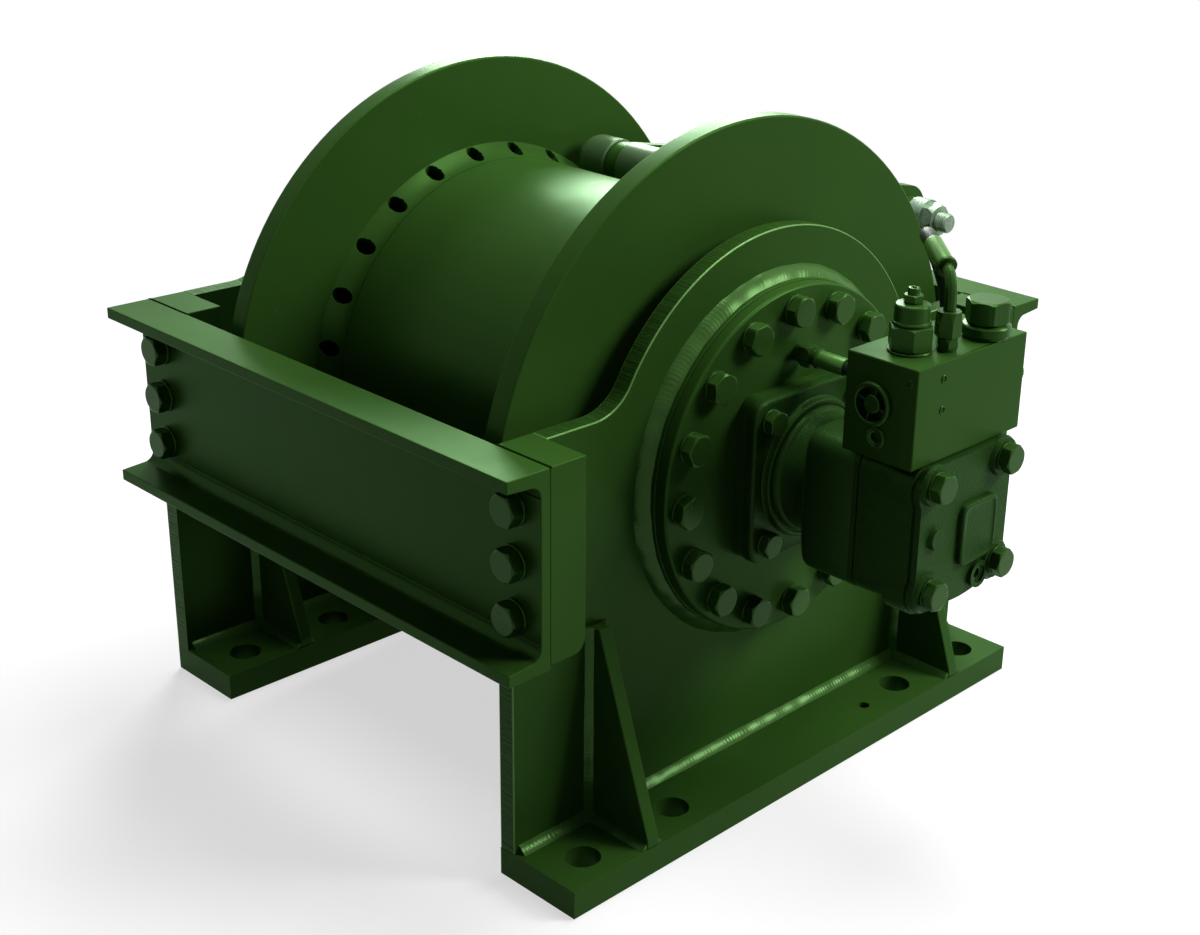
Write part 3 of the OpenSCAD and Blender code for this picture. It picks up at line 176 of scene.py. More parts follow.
def shells_to_piece(name, shells, slot, body, finish=None, soft=0.0):
    """Joins closed shells into one piece. A shell is its rings, or (rings, True) where the last joins the first:
    rings[i, j] is point j of ring i, and quads join neighbouring rings, so the surface is a function of (i, j).
    Open ends get caps. The finish is the slot's own unless another is named. A piece with no body is left unattached."""
    points, faces, marks, base = [], [], [], 0
    for shell in shells:
        rings, looped = shell if isinstance(shell, tuple) else (shell, False)
        m, n = rings.shape[:2]
        i, j = np.arange(m if looped else m - 1)[:, None], np.arange(n)[None, :]
        quads = np.stack([i * n + j, i * n + (j + 1) % n, (i + 1) % m * n + (j + 1) % n, (i + 1) % m * n + j], -1)
        quads = quads.reshape(-1, 4)
        flat = rings.reshape(-1, 3)
        middle = flat.mean(0)
        corner = flat[quads] - middle
        volume = np.einsum("ij,ij->", corner[:, 0], np.cross(corner[:, 1], corner[:, 2]))
        volume += np.einsum("ij,ij->", corner[:, 0], np.cross(corner[:, 2], corner[:, 3]))
        step = np.linalg.norm(np.diff(rings.mean(1), axis=0), axis=1)
        along = np.concatenate([[0.0], np.cumsum(step)])
        along = np.append(along, along[-1] + step.mean())
        u = np.stack(np.broadcast_arrays(along[i], along[i], along[i + 1], along[i + 1]), -1) + 0 * j[..., None]
        v = np.stack(np.broadcast_arrays(j / n, (j + 1) / n, (j + 1) / n, j / n), -1) + 0 * i[..., None]
        uv = np.stack([u, v], -1).reshape(-1, 4, 2)
        ends = [] if looped else [list(range(n))[::-1], list(range((m - 1) * n, m * n))]
        if volume < 0:
            quads, uv, ends = quads[:, ::-1], uv[:, ::-1], [e[::-1] for e in ends]
        points.append(flat)
        faces += (quads + base).tolist() + [[k + base for k in e] for e in ends]
        marks.append(uv.reshape(-1, 2))
        marks.append(np.zeros((sum(len(e) for e in ends), 2)))
        base += len(flat)
    mesh = bpy.data.meshes.new(name)
    mesh.from_pydata(np.concatenate(points).tolist(), [], faces)
    mesh.uv_layers.new(name="UVMap").data.foreach_set("uv", np.concatenate(marks).astype("f").ravel())
    mesh.polygons.foreach_set("use_smooth", np.full(len(faces), True))
    mesh.update()
    mesh.set_sharp_from_angle(angle=math.radians(28))
    piece = bpy.data.objects.new(name, mesh)
    bpy.context.scene.collection.objects.link(piece)
    mesh.materials.append(FINISHES[finish or slot])
    if soft:
        round_off(piece, soft)
    if body:
        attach(piece, body)
    return piece


def round_off(piece, width, clamp=True):
    """Small roundings on the sharp edges, in rubbed paint with a painted highlight on the side plates, and shading
    that follows the flats.
    """
    bevel = piece.modifiers.new("round", "BEVEL")
    bevel.width = width
    bevel.segments = 2
    bevel.limit_method = "ANGLE"
    bevel.angle_limit = math.radians(24)
    bevel.use_clamp_overlap = clamp
    flat = piece.modifiers.new("flat", "WEIGHTED_NORMAL")
    flat.mode = "FACE_AREA"
    flat.weight = 95
    flat.keep_sharp = True
    # The side plates' rounded edges get rubbed paint with a painted highlight
    if piece.data.materials[0] == FINISHES["side_plate_paint"]:
        piece.data.materials.append(FINISHES["worn_edge"])
        bevel.material = 1


def unit(v):
    v = np.asarray(v, float)
    return v / np.linalg.norm(v, axis=-1, keepdims=True)


def angles(count):
    """Equal angles round one turn."""
    return np.arange(count) * 2 * np.pi / count


def smooth_run(points, steps):
    """Catmull-Rom curve: a cubic between two points that has, at each, the slope of its neighbours."""
    p = np.asarray(points, float)
    p = np.concatenate([[2 * p[0] - p[1]], p, [2 * p[-1] - p[-2]]])
    t = (np.arange(steps) / steps)[None, :, None]
    a, b, c, d = (p[k : len(p) - 3 + k][:, None] for k in range(4))
    run = b + t / 2 * (c - a + t * (2 * a - 5 * b + 4 * c - d + t * (3 * b - a - 3 * c + d)))
    return np.concatenate([run.reshape(-1, 3), p[-2:-1]])


def even_run(points, step):
    """The same line with points at equal distances."""
    s = np.concatenate([[0.0], np.cumsum(np.linalg.norm(np.diff(points, axis=0), axis=1))])
    t = np.linspace(0, s[-1], max(3, int(round(s[-1] / step)) + 1))
    return np.stack([np.interp(t, s, points[:, k]) for k in range(3)], 1), t


def tube_rings(path, radius, sides):
    """Rings of a round tube: centre + radius * (cos a * normal + sin a * (heading x normal)), with the normal carried
    along the path by taking away its part along each new heading."""
    path = np.asarray(path, float)
    heading = unit(np.gradient(path, axis=0))
    normal = np.empty_like(path)
    w = np.array([0.3, 1.0, 0.2])
    for k, t in enumerate(heading):
        w = unit(w - w.dot(t) * t)
        normal[k] = w
    a = angles(sides)[None, :, None]
    return path[:, None] + radius * (np.cos(a) * normal[:, None] + np.sin(a) * np.cross(heading, normal)[:, None])


def bead(path, first, second, leg, pitch, looped=False, seed=0.0):
    """Fillet weld: across the bead, s runs from leg 1 to leg 2 and the point is corner + leg * ((1 - s) * first +
    s * second) + bulge * 4 s (1 - s) * outward. The legs waver slowly, and low arched ripples cross the bulge."""
    run, t = even_run(np.asarray(path, float), pitch / 4)
    if looped:
        run, t = run[:-1], t[:-1]
        pitch = (t[-1] + t[1]) / round((t[-1] + t[1]) / pitch)
    first = np.broadcast_to(first, run.shape)
    second = second(t) if callable(second) else np.broadcast_to(second, run.shape)
    s = np.linspace(0, 1, 9)[None, :]
    arch = 4 * s * (1 - s)
    slow = 0.035 * np.sin(t * 31 + seed) + 0.025 * np.sin(t * 83 + 2 * seed) + 0.018 * np.sin(t * 217 + 3 * seed)
    phase = t[:, None] / pitch + 0.5 * arch + 8 * slow[:, None] + seed
    ripple = (0.5 + 0.5 * np.cos(2 * np.pi * phase)) * (0.5 + 9 * slow[:, None])
    out = unit(first + second)
    width = leg * (1 + slow)[:, None] * (1 + 0.02 * ripple)
    top = (
        run[:, None]
        + (width * (1 - s))[..., None] * first[:, None]
        + (width * s)[..., None] * second[:, None]
        + (leg * arch * (0.10 + 0.6 * slow[:, None] + 0.016 * ripple))[..., None] * out[:, None]
    )
    root = run[:, None] - 0.0003 * out[:, None]
    return np.concatenate([top, root], 1), looped


def hexagon(a, across):
    """Radius of a hexagon at angle a: half its width over the flats / cosine of the angle to the nearest flat."""
    return across / 2 / np.cos((a + np.pi / 6) % (np.pi / 3) - np.pi / 6)


def lathe(rows, origin, axis, side, sides=48):
    """Turned and hexagonal pieces. Each row of rows(a) is (along, radius) at angle a, and the point is origin +
    along * axis + radius * (cos a * side + sin a * (axis x side))."""
    axis, side = unit(axis), unit(side)
    a = angles(sides)
    pairs = [np.broadcast_arrays(along, radius, a)[:2] for along, radius in rows(a)]
    along, radius = (np.stack(k)[..., None] for k in zip(*pairs))
    spoke = np.cos(a)[:, None] * side + np.sin(a)[:, None] * np.cross(axis, side)
    return np.asarray(origin) + along * axis + radius * spoke[None]


def hexagonal(a, low, high, across, turn=0.0, both=False):
    """Rows of a hexagon with its end cut by a cone of 30 degrees: the sides end at high - (radius - flat) tan 30."""
    r, flat = hexagon(a - turn, across), 0.475 * across
    drop = (r - flat) * math.tan(math.pi / 6)
    start = [(low, flat), (low + drop, r)] if both else [(low, r)]
    return start + [(high - drop, r), (high, flat)]


def bolt(place, axis, side, size, across, head, washer, length, turn, plate=0.016):
    """Hexagon bolt with washer and shank, as a lathe surface. Plate is the washer's radius."""
    def rows(a):
        r = 0.5 * size
        low = [(-length, 0.8 * r), (-length + 0.15 * r, 0.97 * r), (0, 0.97 * r)]
        rim = [(0, plate), (0.75 * washer, plate), (washer, 0.97 * plate)]
        foot = [(washer, 0.47 * across), (washer + 0.0005, 0.47 * across)]
        return low + rim + foot + hexagonal(a, washer + 0.0005, washer + head, across, turn)

    return lathe(rows, place, axis, side)


def around(x, radius, a, middle=AXIS):
    """Points at station x, radius and angle a round the drum's axis, or round another line along x."""
    across, up = middle[0] + radius * np.cos(a), middle[1] + radius * np.sin(a)
    return np.stack(np.broadcast_arrays(x, across, up), -1)


def spokes(radius):
    """Unit spokes of a circle round the drum's axis as a function of the distance along it."""
    return lambda t: np.stack([0 * t, np.cos(t / radius), np.sin(t / radius)], 1)


# Finishes

FINISHES = {}


def add(tree, kind, output, inputs=None, **settings):
    """Adds a node and gives one of its outputs. Each input is a number, a colour or a wire, and None leaves it."""
    node = tree.nodes.new("ShaderNode" + kind)
    for key, value in settings.items():
        setattr(node, key, value)
    for key, value in (inputs or {}).items():
        if isinstance(value, bpy.types.NodeSocket):
            tree.links.new(value, node.inputs[key])
        elif value is not None:
            node.inputs[key].default_value = value
    return node.outputs[output]


def end_in(tree, kind, wire):
    """Leads a node board's last wire into its output node."""
    tree.links.new(wire, tree.nodes.new("ShaderNodeOutput" + kind).inputs["Surface"])


class Board:
    """A material's node board: each call adds a node and gives the wire that leaves it"""

    def __init__(self, name):
        self.name = name
        self.material = bpy.data.materials.new(name)
        self.material.use_nodes = True
        self.tree = self.material.node_tree
        self.tree.nodes.clear()
        self.coords = self.tree.nodes.new("ShaderNodeTexCoord").outputs

    def add(self, *words, **settings):
        return add(self.tree, *words, **settings)

    def noise(self, scale, detail=4.0, rough=0.55, stretch=None):
        where = self.coords["Object"]
        if stretch is not None:
            where = self.add("Mapping", "Vector", {"Vector": where, "Scale": stretch})
        return self.add("TexNoise", "Fac", {"Vector": where, "Scale": scale, "Detail": detail, "Roughness": rough})

    def cells(self, scale):
        return self.add("TexVoronoi", "Distance", {"Vector": self.coords["Object"], "Scale": scale})

    def spread(self, value, low, high, to_low, to_high):
        return self.add("MapRange", "Result", {0: value, 1: low, 2: high, 3: to_low, 4: to_high})

    def maths(self, operation, a, b):
        return self.add("Math", "Value", {0: a, 1: b}, operation=operation)

    def blend(self, factor, a, b):
        a, b = (v if isinstance(v, bpy.types.NodeSocket) else (*v, 1) for v in (a, b))
        return self.add("Mix", 2, {"Factor": factor, 6: a, 7: b}, data_type="RGBA")

    def normal_share(self, axis):
        """The share of the face's own normal along one axis."""
        return self.add("SeparateXYZ", axis, {"Vector": self.add("NewGeometry", "True Normal")})

    def bump(self, height, strength, depth, below=None):
        values = {"Height": height, "Strength": strength, "Distance": depth, "Normal": below}
        return self.add("Bump", "Normal", values)

    def done(self, base, rough, normal, metal=0.0, level=0.5, tint=(1, 1, 1)):
        """Ends the board in the shader, whose own sockets hold what is the same all over, and files the finish."""
        values = {
            "Base Color": base, "Roughness": rough, "Normal": normal, "Metallic": metal,
            "Specular IOR Level": level, "Specular Tint": (*tint, 1),
        }
        end_in(self.tree, "Material", self.add("BsdfPrincipled", "BSDF", values))
        FINISHES[self.name] = self.material


def shade(c, k):
    return tuple(min(1.0, v * k) for v in c)


def enamel(
    name, base, worn, casting=0.0, wear=0.0, rough=0.33, gloss=0.045, cut=None, tint=(0.40, 1.0, 0.32), flake=0.15
):
    """Sprayed enamel: faint clouds, fine speckle, orange peel and specks of rubbed paint. A casting adds sand grain.
    A plate cut by flame has drag lines along axis cut, on the faces that this axis runs along."""
    b = Board(name)
    cloud = b.spread(b.noise(5, 3), 0.3, 0.7, 0, 1)
    body = b.blend(cloud, shade(base, 0.93), shade(base, 1.07))
    speck = b.spread(b.noise(900, 2), 0.3, 0.7, 0, 1)
    body = b.blend(b.maths("MULTIPLY", speck, 0.25), body, shade(base, 1.35))
    scuff = b.spread(b.noise(130, 7, 0.7), 0.66, 0.72, 0, 1)
    body = b.blend(b.maths("MULTIPLY", scuff, b.spread(b.noise(6, 3), 0.5, 0.65, 0, 0.6)), body, worn)
    if wear:
        body = b.blend(b.spread(b.noise(70, 6, 0.7), 0.42, 0.62, wear * 0.35, wear), body, worn)
    sheen = b.spread(b.noise(22, 5), 0.3, 0.7, rough - 0.03, rough + 0.05)
    peel = b.bump(b.noise(420, 3), 0.15, 0.0003)
    if casting:
        grain = b.maths("ADD", b.noise(260, 6, 0.7), b.cells(520))
        peel = b.bump(grain, casting, 0.0009, peel)
    if cut is not None:
        side = b.maths("ABSOLUTE", b.normal_share(cut), 0)
        lines = b.noise(330, 3, 0.75, stretch=[0.02 if k == cut else 1 for k in range(3)])
        lines = b.maths("MULTIPLY", b.spread(lines, 0.3, 0.7, 0, 1), b.spread(side, 0.2, 0.5, 1, 0))
        body = b.blend(b.maths("MULTIPLY", lines, 0.45), body, shade(base, 0.45))
        peel = b.bump(lines, 0.8, 0.0011, peel)
    b.done(body, sheen, peel, metal=flake, level=gloss, tint=tint)


def metal(name, base, rough, turning=(1, 1, 1), spots=0.1):
    """Bare or plated metal: fine grain or turning marks, and cloudy patches."""
    b = Board(name)
    cloud = b.spread(b.noise(45, 6, 0.6), 0.35, 0.65, 0, 1)
    body = b.blend(cloud, shade(base, 1 - spots), shade(base, 1 + spots))
    marks = b.noise(300, 4, 0.6, stretch=turning)
    gloss = b.spread(marks, 0.3, 0.7, rough - 0.06, rough + 0.1)
    b.done(body, gloss, b.bump(marks, 0.25, 0.0002), metal=1.0)


def make_finishes(c):
    paint, worn, cast, roller, steel = (tuple(v) for v in (c.paint, c.worn, c.cast, c.roller, c.steel))
    grey, pale_grey = (0.09, 0.09, 0.09), (0.2, 0.2, 0.2)
    enamel("green_paint", paint, worn)
    enamel("side_plate_paint", paint, worn, cut=0)
    enamel("sleeve_paint", shade(paint, 2.4), worn, rough=0.27, gloss=0.3, tint=(0.7, 1, 0.64))
    # Rubbed paint and painted highlight on the side plates' rounded edges: a much lighter copy of the paint
    enamel("worn_edge", shade(paint, 3.2), shade(worn, 2.0), wear=0.9, rough=0.34, gloss=0.14)
    enamel("bolt_paint", paint, worn, rough=0.27, gloss=0.14)
    enamel("cast_paint", cast, worn, casting=0.3, rough=0.34)
    # Painted shade: a very dark copy of the paint, for the deep faces inside the collar's holes and for the gaps
    # behind the channels
    enamel("drilled_paint", shade(paint, 0.10), shade(worn, 0.1), gloss=0.0, flake=0.0)
    enamel("cast_inner", grey, pale_grey, casting=0.3, rough=0.55, tint=(1, 1, 1))
    enamel("weld_paint", shade(paint, 1.5), worn, wear=0.25, rough=0.27, gloss=0.12, tint=(0.66, 1.0, 0.60))
    enamel("roller_skin", roller, worn, rough=0.28, gloss=0.2, tint=(0.6, 1, 0.55))
    metal("ground_steel", steel, 0.32, turning=(9, 1, 1))
    metal("bearing_steel", shade(steel, 1.15), 0.2, spots=0.05)
    metal("gear_steel", shade(steel, 0.85), 0.36, turning=(1, 5, 5))
    metal("spring_steel", shade(steel, 0.36), 0.38)
    galvanised(tuple(c.zinc))
    lining(tuple(c.lining))
    hose_cover(tuple(c.rubber))
    seal(tuple(c.rubber))


def galvanised(base):
    """Zinc plate: pale, faintly spangled, with dull patches."""
    b = Board("galvanised")
    spangle = b.spread(b.cells(240), 0.1, 0.7, 0, 1)
    body = b.blend(spangle, shade(base, 0.8), shade(base, 1.15))
    body = b.blend(b.spread(b.noise(55, 6), 0.5, 0.7, 0, 0.35), body, shade(base, 0.5))
    gloss = b.spread(b.noise(120, 5), 0.3, 0.7, 0.3, 0.5)
    b.done(body, gloss, b.bump(b.noise(600, 3), 0.15, 0.0002), metal=0.6)


def lining(base):
    """Sintered lining: grains of two tones."""
    b = Board("friction_lining")
    body = b.blend(b.spread(b.cells(900), 0.1, 0.6, 0, 1), shade(base, 0.6), shade(base, 1.5))
    b.done(body, b.spread(b.noise(300), 0.3, 0.7, 0.6, 0.8), b.bump(b.noise(700, 5), 0.5, 0.0004))


def hose_cover(base):
    """Hydraulic hose cover: wrapped cloth marks that wind round the hose, in its own UV map."""
    b = Board("hose_rubber")
    where = b.add("Mapping", "Vector", {"Vector": b.coords["UV"], "Scale": (260, 2.0, 1)})
    marks = {"Vector": where, "Scale": 1.0, "Distortion": 0.4}
    wrap = b.add("TexWave", "Fac", marks, wave_type="BANDS", bands_direction="DIAGONAL")
    body = b.blend(b.spread(b.noise(60, 6), 0.4, 0.7, 0, 1), shade(base, 0.8), shade(base, 1.7))
    gloss = b.spread(b.noise(90, 5), 0.3, 0.7, 0.42, 0.6)
    normal = b.bump(wrap, 0.3, 0.0003, b.bump(b.noise(900, 3), 0.3, 0.0002))
    b.done(body, gloss, normal, level=0.12)


def seal(base):
    """Moulded seal rubber."""
    b = Board("seal_rubber")
    body = b.blend(b.noise(80, 5), shade(base, 0.8), shade(base, 1.2))
    b.done(body, b.spread(b.noise(120), 0.3, 0.7, 0.5, 0.65), b.bump(b.noise(800, 3), 0.2, 0.0002))


# CAD nodes that the photograph shows in another finish than their slot's
OWN_FINISH = {
    "press_rollers": "roller_skin", "hose_fittings": "bolt_paint",
    "near_side_plate": "side_plate_paint", "far_side_plate": "side_plate_paint",
}


# Operators


class WINCH_OT_camera(bpy.types.Operator):
    """Puts the camera where the photograph was taken from"""

    bl_idname = "winch.camera"
    bl_label = "Camera"

    def execute(self, context):
        data = bpy.data.cameras.new("camera")
        data.sensor_fit = "HORIZONTAL"
        data.sensor_width = 36
        data.lens = CAMERA_LENS
        data.shift_x, data.shift_y = CAMERA_SHIFT
        data.clip_start, data.clip_end = 0.05, 200
        camera = bpy.data.objects.new("camera", data)
        camera.location = CAMERA_PLACE
        camera.rotation_euler = [math.radians(v) for v in CAMERA_TURN]
        context.scene.collection.objects.link(camera)
        context.scene.camera = camera
        return {"FINISHED"}


class WINCH_OT_finishes(bpy.types.Operator):
    """Makes every finish and gives each CAD node the one that its own material names"""

    bl_idname = "winch.finishes"
    bl_label = "Finishes"

    def execute(self, context):
        make_finishes(context.scene.winch_colours)
        for name, node in NODES.items():
            slot = node.data.materials[0].name.split(".")[0]
            finish = FINISHES[OWN_FINISH.get(name, slot)]
            node.data.materials.clear()
            node.data.materials.append(finish)
        return {"FINISHED"}


class WINCH_OT_hose(bpy.types.Operator):
    """Brake hose from the upper sleeve round behind the valve block to the brake port"""

    bl_idname = "winch.hose"
    bl_label = "Brake hose"

    def execute(self, context):
        sizes = context.scene.winch_sizes
        start, end = np.array(SLEEVE[0]), np.array(SLEEVE[1])
        way = unit(end - start)
        exit_point = end + HOSE_GAP * way
        back = (PORT_END[0] + HOSE_GAP, PORT_END[1], PORT_END[2])
        points = [exit_point, end + 0.0064 * way, *HOSE_POINTS, back]
        path, along = even_run(smooth_run(points, 24), 0.0025)
        rings = tube_rings(path, sizes.hose / 2, 28)
        piece = shells_to_piece("brake_hose_cover", [rings], "hose_rubber", "frame")
        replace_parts(piece, "brake_hose")
        return {"FINISHED"}


class WINCH_OT_welds(bpy.types.Operator):
    """Rippled fillet welds of the frame and its lugs, and painted shade over the gaps behind the channels"""

    bl_idname = "winch.welds"
    bl_label = "Weld beads"

    def execute(self, context):
        sizes = context.scene.winch_sizes
        leg, pitch = sizes.bead, sizes.ripple
        x, y, z = np.eye(3)
        seat = around(PLATE_FACES[0], SEAT_RADIUS, np.linspace(0, 2 * np.pi, 720))
        beads = [bead(seat, x, spokes(SEAT_RADIUS), 1.35 * leg, pitch, True, 0.3)]
        last = HALF_LENGTH - 0.006
        walls = (-GUSSET_Y - GUSSET_HALF, -GUSSET_Y + GUSSET_HALF, GUSSET_Y - GUSSET_HALF, GUSSET_Y + GUSSET_HALF)
        stops = (-last, *walls, last)
        for face in PLATE_FACES:
            for k in (0, 2, 4):
                ends = [(face, stops[k], FOOT_TOP), (face, stops[k + 1], FOOT_TOP)]
                beads.append(bead(ends, x, z, leg, pitch, seed=k + face))
            for side in (-1, 1):
                for wall in (-1, 1):
                    at = side * GUSSET_Y + wall * GUSSET_HALF
                    foot = [(face, at, FOOT_TOP), (face + GUSSET_DEEP, at, FOOT_TOP)]
                    beads.append(bead(foot, wall * y, z, 0.75 * leg, pitch, seed=at))
                    rise = [(face, at, FOOT_TOP), (face, at, FOOT_TOP + GUSSET_TALL)]
                    beads.append(bead(rise, wall * y, x, 0.75 * leg, pitch, seed=2 * at))
        piece = shells_to_piece("frame_weld_beads", beads, "weld_paint", "frame")
        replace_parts(piece, "frame_welds")
        lugs = []
        for side in (-1, 1):
            for face, out in zip(LUG_FACES, (-side, side)):
                at = MIDDLE_X + side * face
                ends = [(at, PIVOT[0] - LUG_HALF, SHOULDER), (at, PIVOT[0] + LUG_HALF, SHOULDER)]
                lugs.append(bead(ends, out * x, z, 0.6 * leg, pitch, seed=face))
        gaps = [self.gap(side, ends) for side in (-1, 1) for ends in JOINTS]
        # Dark boxes over the joints: painted shade of the gaps
        shells_to_piece("block_joint_gaps", gaps, "green_paint", "frame", finish="drilled_paint")
        shells_to_piece("lug_weld_beads", lugs, "weld_paint", "frame")
        return {"FINISHED"}

    @staticmethod
    def gap(side, ends):
        """Painted shade of the gap between a channel's back and its end block: a flat dark box, proud of the tops by
        0.2 mm.
        """
        y, z = side * (HALF_LENGTH - 0.0006), SHOULDER - 0.001
        half, tall = 0.0015, 0.0012
        square = np.array([(y - half, z), (y + half, z), (y + half, z + tall), (y - half, z + tall)])
        return np.stack([np.column_stack([np.full(4, x), square]) for x in ends])


class WINCH_OT_springs(bpy.types.Operator):
    """Torsion springs of the roller frame and the twelve springs behind the brake piston"""

    bl_idname = "winch.springs"
    bl_label = "Springs"

    def execute(self, context):
        sizes = context.scene.winch_sizes
        self.torsion_springs(sizes.coil, sizes.wire, sizes.turns)
        self.brake_springs()
        return {"FINISHED"}

    @staticmethod
    def torsion_springs(r, wire, turns):
        """A coil (r cos a, r sin a) that steps inwards with a, from a leg along the roller arm to a leg that leans 20
        degrees and stands on the end block."""
        lean, arm_leg, above_block, between_turns = math.radians(20), 0.062, 0.0006, 0.001
        arm = math.atan2(AXLE[1] - PIVOT[1], AXLE[0] - PIVOT[0])
        start = arm - math.pi / 2
        turn = turns * 2 * math.pi + start + lean
        drop = (PIVOT[1] - SHOULDER - r * math.sin(lean) - wire / 2 - above_block) / math.cos(lean)
        a = start - np.linspace(0, turn, turns * 28)
        shift = (wire + between_turns) / (2 * math.pi) * (start - a)
        coil = np.stack([r * np.cos(a), r * np.sin(a), -shift], 1)
        leg = arm_leg * np.array([math.cos(arm), math.sin(arm), 0])
        foot = np.array([-drop * math.sin(lean), -drop * math.cos(lean), 0])
        k = np.linspace(0, 1, 8)[:, None]
        line = np.concatenate([coil[:1] + (1 - k[:-1]) * leg, coil, coil[-1:] + k[1:] * foot])
        for side, name in ((-1, "far_roller_spring_coil"), (1, "near_roller_spring_coil")):
            across = MIDDLE_X + side * (ARM_INNER - wire + line[:, 2])
            path = np.stack([across, PIVOT[0] + line[:, 0], PIVOT[1] + line[:, 1]], 1)
            piece = shells_to_piece(name, [tube_rings(path, wire / 2, 12)], "spring_steel", None)
            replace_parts(piece, "roller_springs")
            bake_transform(piece)

    @staticmethod
    def brake_springs():
        """Twelve coils on a ring, each (r cos a, r sin a) with a growing along x."""
        low_end, high_end = (np.array(v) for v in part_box("brake_springs"))
        r, wire, end_gap, turns = 0.0062, 0.0032, 0.0018, 7
        ring = (high_end[1] - low_end[1]) / 2 - 0.008
        a = np.linspace(0, turns * 2 * np.pi, turns * 14)
        rise = np.linspace(low_end[0] + end_gap, high_end[0] - end_gap, len(a))
        shells = []
        for k in range(12):
            b = k * math.pi / 6
            across, up = ring * math.cos(b) + r * np.cos(a), AXIS[1] + ring * math.sin(b) + r * np.sin(a)
            shells.append(tube_rings(np.stack([rise, across, up], 1), wire / 2, 6))
        piece = shells_to_piece("brake_spring_coils", shells, "spring_steel", "frame")
        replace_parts(piece, "brake_springs")
        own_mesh(piece)


class WINCH_OT_balls(bpy.types.Operator):
    """Balls of the far bearing, a shade smaller than their groove"""

    bl_idname = "winch.balls"
    bl_label = "Bearing balls"

    def execute(self, context):
        """Each ball is the lathe surface (-r cos t, r sin t) for t from pole to pole."""
        low, high = (np.array(v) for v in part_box("far_bearing_balls"))
        full, count = (high[0] - low[0]) / 2, 14
        pitch, r = (high[1] - low[1]) / 2 - full, 0.982 * full

        def rows(a):
            return [(-r * math.cos(t), r * math.sin(t)) for t in np.linspace(0.05, math.pi - 0.05, 19)]

        shells = []
        for k in range(count):
            at = around((low[0] + high[0]) / 2, pitch, 2 * math.pi * k / count)
            shells.append(lathe(rows, at, (1, 0, 0), (0, 1, 0), sides=32))
        piece = shells_to_piece("far_bearing_spheres", shells, "bearing_steel", "far_bearing_cage")
        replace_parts(piece, "far_bearing_balls")
        return {"FINISHED"}


class WINCH_OT_shaft(bpy.types.Operator):
    """Pivot shaft with rolled threads on both ends"""

    bl_idname = "winch.shaft"
    bl_label = "Threaded pivot shaft"

    def execute(self, context):
        """Radius as a function of turn a and station x: r - depth * (saw tooth of x / pitch - a / turn), fading to
        the plain shank inside the collars and to a chamfer at the ends."""
        pitch, r, half = context.scene.winch_sizes.thread, SHAFT_RADIUS, SHAFT_HALF
        depth, fade = 0.0016, 0.002
        one_end = np.arange(half - 0.036, half + 1e-9, pitch / 9)
        stations = np.concatenate([-one_end[::-1], one_end])[:, None]
        a = angles(32)
        tooth = np.abs(((stations / pitch - a / (2 * np.pi)) % 1) - 0.5) * 2
        reach = np.abs(stations)
        threaded = np.clip((reach - (half - 0.034)) / fade, 0, 1)
        radius = r - depth * tooth * threaded
        radius = np.minimum(radius, r - 0.0002 - np.clip(reach - (half - fade), 0, 1))
        rings = around(MIDDLE_X + stations, radius, a, PIVOT)
        piece = shells_to_piece("pivot_shaft_threads", [rings], "galvanised", "frame")
        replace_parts(piece, "pivot_shaft")
        return {"FINISHED"}


class WINCH_OT_sleeves(bpy.types.Operator):
    """Smooth sleeves at both ends of the brake hose, and a ring round the outer end of each"""

    bl_idname = "winch.sleeves"
    bl_label = "Hose sleeves"

    def execute(self, context):
        """Both are lathe surfaces of (along, radius)."""
        start, end = np.array(SLEEVE[0]), np.array(SLEEVE[1])
        heading, long = unit(end - start), float(np.linalg.norm(end - start))
        upper = (start, heading, unit(np.cross(heading, (0.3, 1.0, 0.2))))
        port = (PORT_SLEEVE, (1, 0, 0), (0, 1, 0))

        def sleeve(length):
            return lambda a: [
                (0.0005, 0.0070), (0.0005, 0.0086), (0.0014, 0.00915), (length - 0.0016, 0.00915),
                (length - 0.0004, 0.0086), (length - 0.0001, 0.0079),
            ]

        def ring(a):
            outer = [(-0.0012, 0.0066), (-0.0012, 0.0098), (-0.0004, 0.0105), (0.0022, 0.0105)]
            return outer + [(0.0030, 0.0099), (0.0030, 0.0090)]

        ends = ((upper, long + 0.013), (port, PORT_SLEEVE_LENGTH))
        tubes = [lathe(sleeve(length), *place) for place, length in ends]
        shells_to_piece("hose_sleeves", tubes, "galvanised", "frame", finish="sleeve_paint")
        rings = [lathe(ring, *place) for place in (upper, port)]
        shells_to_piece("hose_sleeve_rings", rings, "bolt_paint", "frame")
        return {"FINISHED"}


